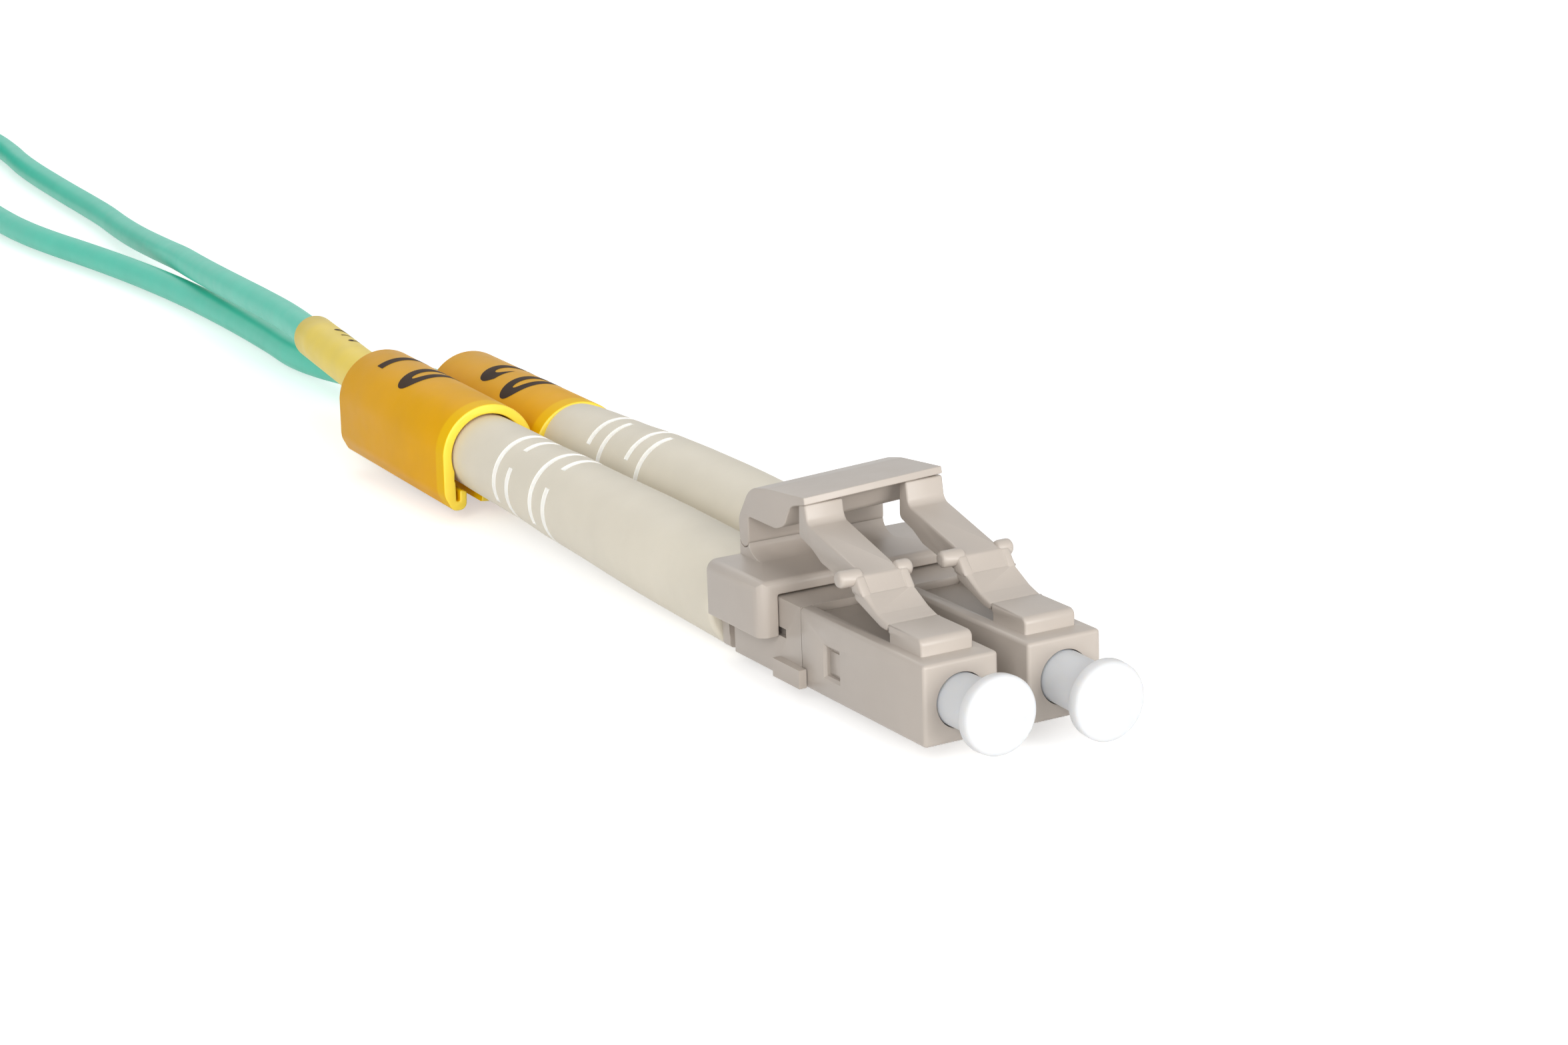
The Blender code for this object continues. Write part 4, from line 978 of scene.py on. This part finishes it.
def modelRearBody():
    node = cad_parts["rear_body_a"]
    bpy.ops.object.select_all(action="DESELECT")
    piece = bpy.data.objects.new("rearBody", node.data.copy())
    bpy.context.collection.objects.link(piece)
    piece.data.transform((toMetres @ plugs[0][2]).inverted() @ node.matrix_world)
    weld(piece)
    gap, half = rearBody["windowGap"], housing["width"] / 2
    start, low, high = housing["windowStart"] + gap, housing["windowLow"] + gap, housing["windowHigh"] - gap
    end = housing["windowStart"] + housing["windowLength"] - gap
    reach = half - rearBody["windowRecess"]
    filling = block("filling", (-reach, start, low), (reach, end, high))
    combine(piece, filling, "UNION")
    top, corner = housing["height"] / 2, rearBody["ribCorner"]
    rib = rounded([(-half, top), (-half, -top, corner), (half, -top, corner), (half, top)])
    ribFront, ribRear = rearBody["ribFront"], rearBody["ribRear"]
    combine(piece, slab("rib", rib, alongY, ribFront, ribRear, rearBody["ribEdge"]), "UNION")
    piece.data.materials.clear()
    soften(piece, 0.05)
    smoothLook(piece)
    return piece


# The clip that holds both rear bodies, in the pair's frame

clip = {
    "front": 14.35, "rear": 20.10, "inner": 5.395, "outer": 6.595, "roof": 3.1, "top": 2.32,
    "webHalf": 0.855, "webDrop": 0.5, "corner": 0.6, "frontCorner": 0.8,
    "postLeft": -4.45, "postRight": 4.12, "postFront": 19.1, "postFoot": 1.4,
}
knuckle = {"y": 19.6, "z": 4.1, "radius": 0.5, "gap": 0.04, "bowlHalf": 0.5}


def modelClip():
    wall, inner, web = clip["outer"], clip["inner"], clip["webHalf"]
    front, rear, roof, top = clip["front"], clip["rear"], clip["roof"], clip["top"]
    across = rounded([
        (-wall, 0, 0.12), (-wall, roof, clip["corner"]), (wall, roof, clip["corner"]), (wall, 0, 0.12),
        (inner, 0, 0.12), (inner, top, 0.1), (web, top, 0.1), (web, -clip["webDrop"]),
        (-web, -clip["webDrop"]), (-web, top, 0.1), (-inner, top, 0.1), (-inner, 0, 0.12)])
    piece = slab("clip", across, alongY, front, rear, 0.08)
    side = rounded([
        (front - 0.01, -1), (rear + past, -1), (rear + past, roof + 0.01), (front - 0.01, roof + 0.01, 0.45)])
    combine(piece, slab("side", side, alongX, -wall - past, wall + past), "INTERSECT")
    plan = rounded([
        (-wall, front, clip["frontCorner"]), (wall, front, clip["frontCorner"]),
        (wall, rear + past), (-wall, rear + past)], 8)
    combine(piece, slab("plan", plan, alongZ, -2, roof + past), "INTERSECT")
    foot = clip["postFront"] - clip["postFoot"]
    socket = knuckle["radius"] + knuckle["gap"]
    lean = math.asin(knuckle["bowlHalf"] / socket)
    rim = knuckle["z"] - socket * math.cos(lean)
    flare = [
        (clip["postFront"] - clip["postFoot"] * (1 - math.sin(math.radians(turn))),
         roof + (rim - roof) * (1 - math.cos(math.radians(turn))))
        for turn in range(0, 91, 15)
    ]
    half = math.degrees(lean)
    bowl = arc((knuckle["y"], knuckle["z"]), socket, -90 - half, -90 + half, 10)[1:]
    post = [(foot, roof - past)] + flare + bowl + [(rear, roof - past)]
    combine(piece, slab("post", post, alongX, clip["postLeft"], clip["postRight"], 0.04), "UNION")
    soften(piece, 0.07)
    smoothLook(piece)
    return piece


# The trigger over the clip

trigger = {
    "left": -4.45, "right": 4.15, "lipFront": 12.995, "under": 7.41, "lip": 0.38, "edge": 0.07,
    "roll": 0.045,      # rise for each mm to the right
}


def modelTrigger():
    y, z, radius = knuckle["y"], knuckle["z"], knuckle["radius"]
    front, under = trigger["lipFront"], trigger["under"]
    outline = rounded([
        (y + radius, z), (y + radius + 0.12, z + 1.0, 1.5), (y - 0.7, z + 2.95, 1.8),
        (y - 2.6, z + 3.33, 3.0), (front, under + trigger["lip"], 0.06), (front - 0.1, under, 0.06),
        (front + 1.45, under - 0.4, 1.0), (front + 2.2, z + 1.62, 0.9), (y - 3.5, z + 1.28, 0.9),
        (y - radius, z + 1.3, 0.25), (y - radius, z)], 8)
    outline += arc((y, z), radius, 180, 360, 14)[1:-1]
    piece = slab("trigger", outline, alongX, trigger["left"], trigger["right"], trigger["edge"])
    for point in piece.data.vertices:
        share = max(0, min(1, (point.co.z - z) / 1.3))
        point.co.z += trigger["roll"] * (point.co.x - trigger["left"]) * share
    smoothLook(piece)
    return piece


# Models, and their copies on the four plugs

models = {
    "housing": modelHousing(), "rearBody": modelRearBody(), "marker": modelMarker(), "clip": modelClip(),
    "trigger": modelTrigger(), "label": modelLabel(),
}
for letter in ("a", "b"):
    upper = letter.upper()
    models[f"latchArm{upper}"] = modelLatchArm(arm["tipLifts"][letter])
    models[f"dustCap{upper}"] = modelDustCap(cap["pulled"][letter], cap["raised"][letter])
    models[f"boot{upper}"] = modelBoot(boot["turns"][letter], letter == "b")
for name, values in prints.items():
    models[name] = modelPrint(**values, radius=labelSizes["outer"] if name == "printLabel" else markerOuter)
print("models done")


def onCord(prefix, letter, piece):
    if prefix:
        onFarPlug[letter].append(piece)


for prefix, letter, matrix in plugs:
    side = -1 if letter == "a" else 1
    upper = letter.upper()
    label = f"{prefix}{{}}_{letter}"
    tailPlace = matrix @ tails[letter]
    markerShift = Matrix.Translation((side * marker["shift"], 0, -marker["drops"][letter]))
    markerPlace = matrix @ markerShift @ tails[letter]
    for key, place, material, body, slot, node in (
        ("housing", matrix, housingPlastic, "cord_set", "white", "front_housing"),
        ("rearBody", matrix, housingPlastic, "cord_set", "white", "rear_body"),
        (f"latchArm{upper}", matrix, housingPlastic, label.format("latch_arm"), "white", "latch_arm"),
        (f"dustCap{upper}", matrix, capPlastic, label.format("dust_cap"), "cap", "dust_cap"),
        (f"boot{upper}", tailPlace, None, "cord_set", "cream", "boot"),
        ("marker", markerPlace, None, "cord_set", "amber", "marker_clip"),
        (f"print{upper}", markerPlace, inkPrint, "cord_set", "black", None),
    ):
        name = f"{prefix}{key}_{letter}"
        node = node and label.format(node)
        onCord(prefix, letter, placed(models[key], name, place, material, body, node))
for prefix, end in ends:
    for key, name, body, node in (
        ("clip", "clip", "cord_set", "duplex_clip"),
        ("trigger", "triggerPlate", f"{prefix}trigger", "trigger"),
    ):
        piece = placed(models[key], prefix + name, end, housingPlastic, body, prefix + node)
        onCord(prefix, "a", piece)
# the label and its print ride on leg a, as the far plug does
onFarPlug["a"] += [
    placed(models["label"], "label", labelPlace, labelFilm, "cord_set", "leg_label"),
    placed(models["printLabel"], "printLabel", labelPlace, inkPrint, "cord_set"),
]
discard(*models.values())
print("plugs done")


# The CAD solids that stay in sight

nodeMaterials = {
    "front_housing": housingPlastic, "latch_arm": housingPlastic, "rear_body": housingPlastic,
    "duplex_clip": housingPlastic, "trigger": housingPlastic, "ferrule_holder": nickelPlate,
    "ferrule_spring": springSteel, "ferrule": ceramic, "crimp_sleeve": nickelPlate,
    "buffered_fibre": bufferPlastic, "boot": bootRubber, "marker_clip": markerPlastic,
    "dust_cap": capPlastic, "leg_label": labelFilm, "cord_tie": tieFabric, "cord": cordJacket,
}
for name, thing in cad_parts.items():
    plain = name.removeprefix("far_")
    kind = next(kind for kind in nodeMaterials if plain.startswith(kind))
    thing.data.materials.clear()
    thing.data.materials.append(nodeMaterials[kind])
    if name.startswith("far_") and any(key in name for key in ("ferrule", "crimp", "buffered")):
        onFarPlug[name[-1]].append(thing)
onFarPlug["a"].append(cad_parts["cord_tie"])
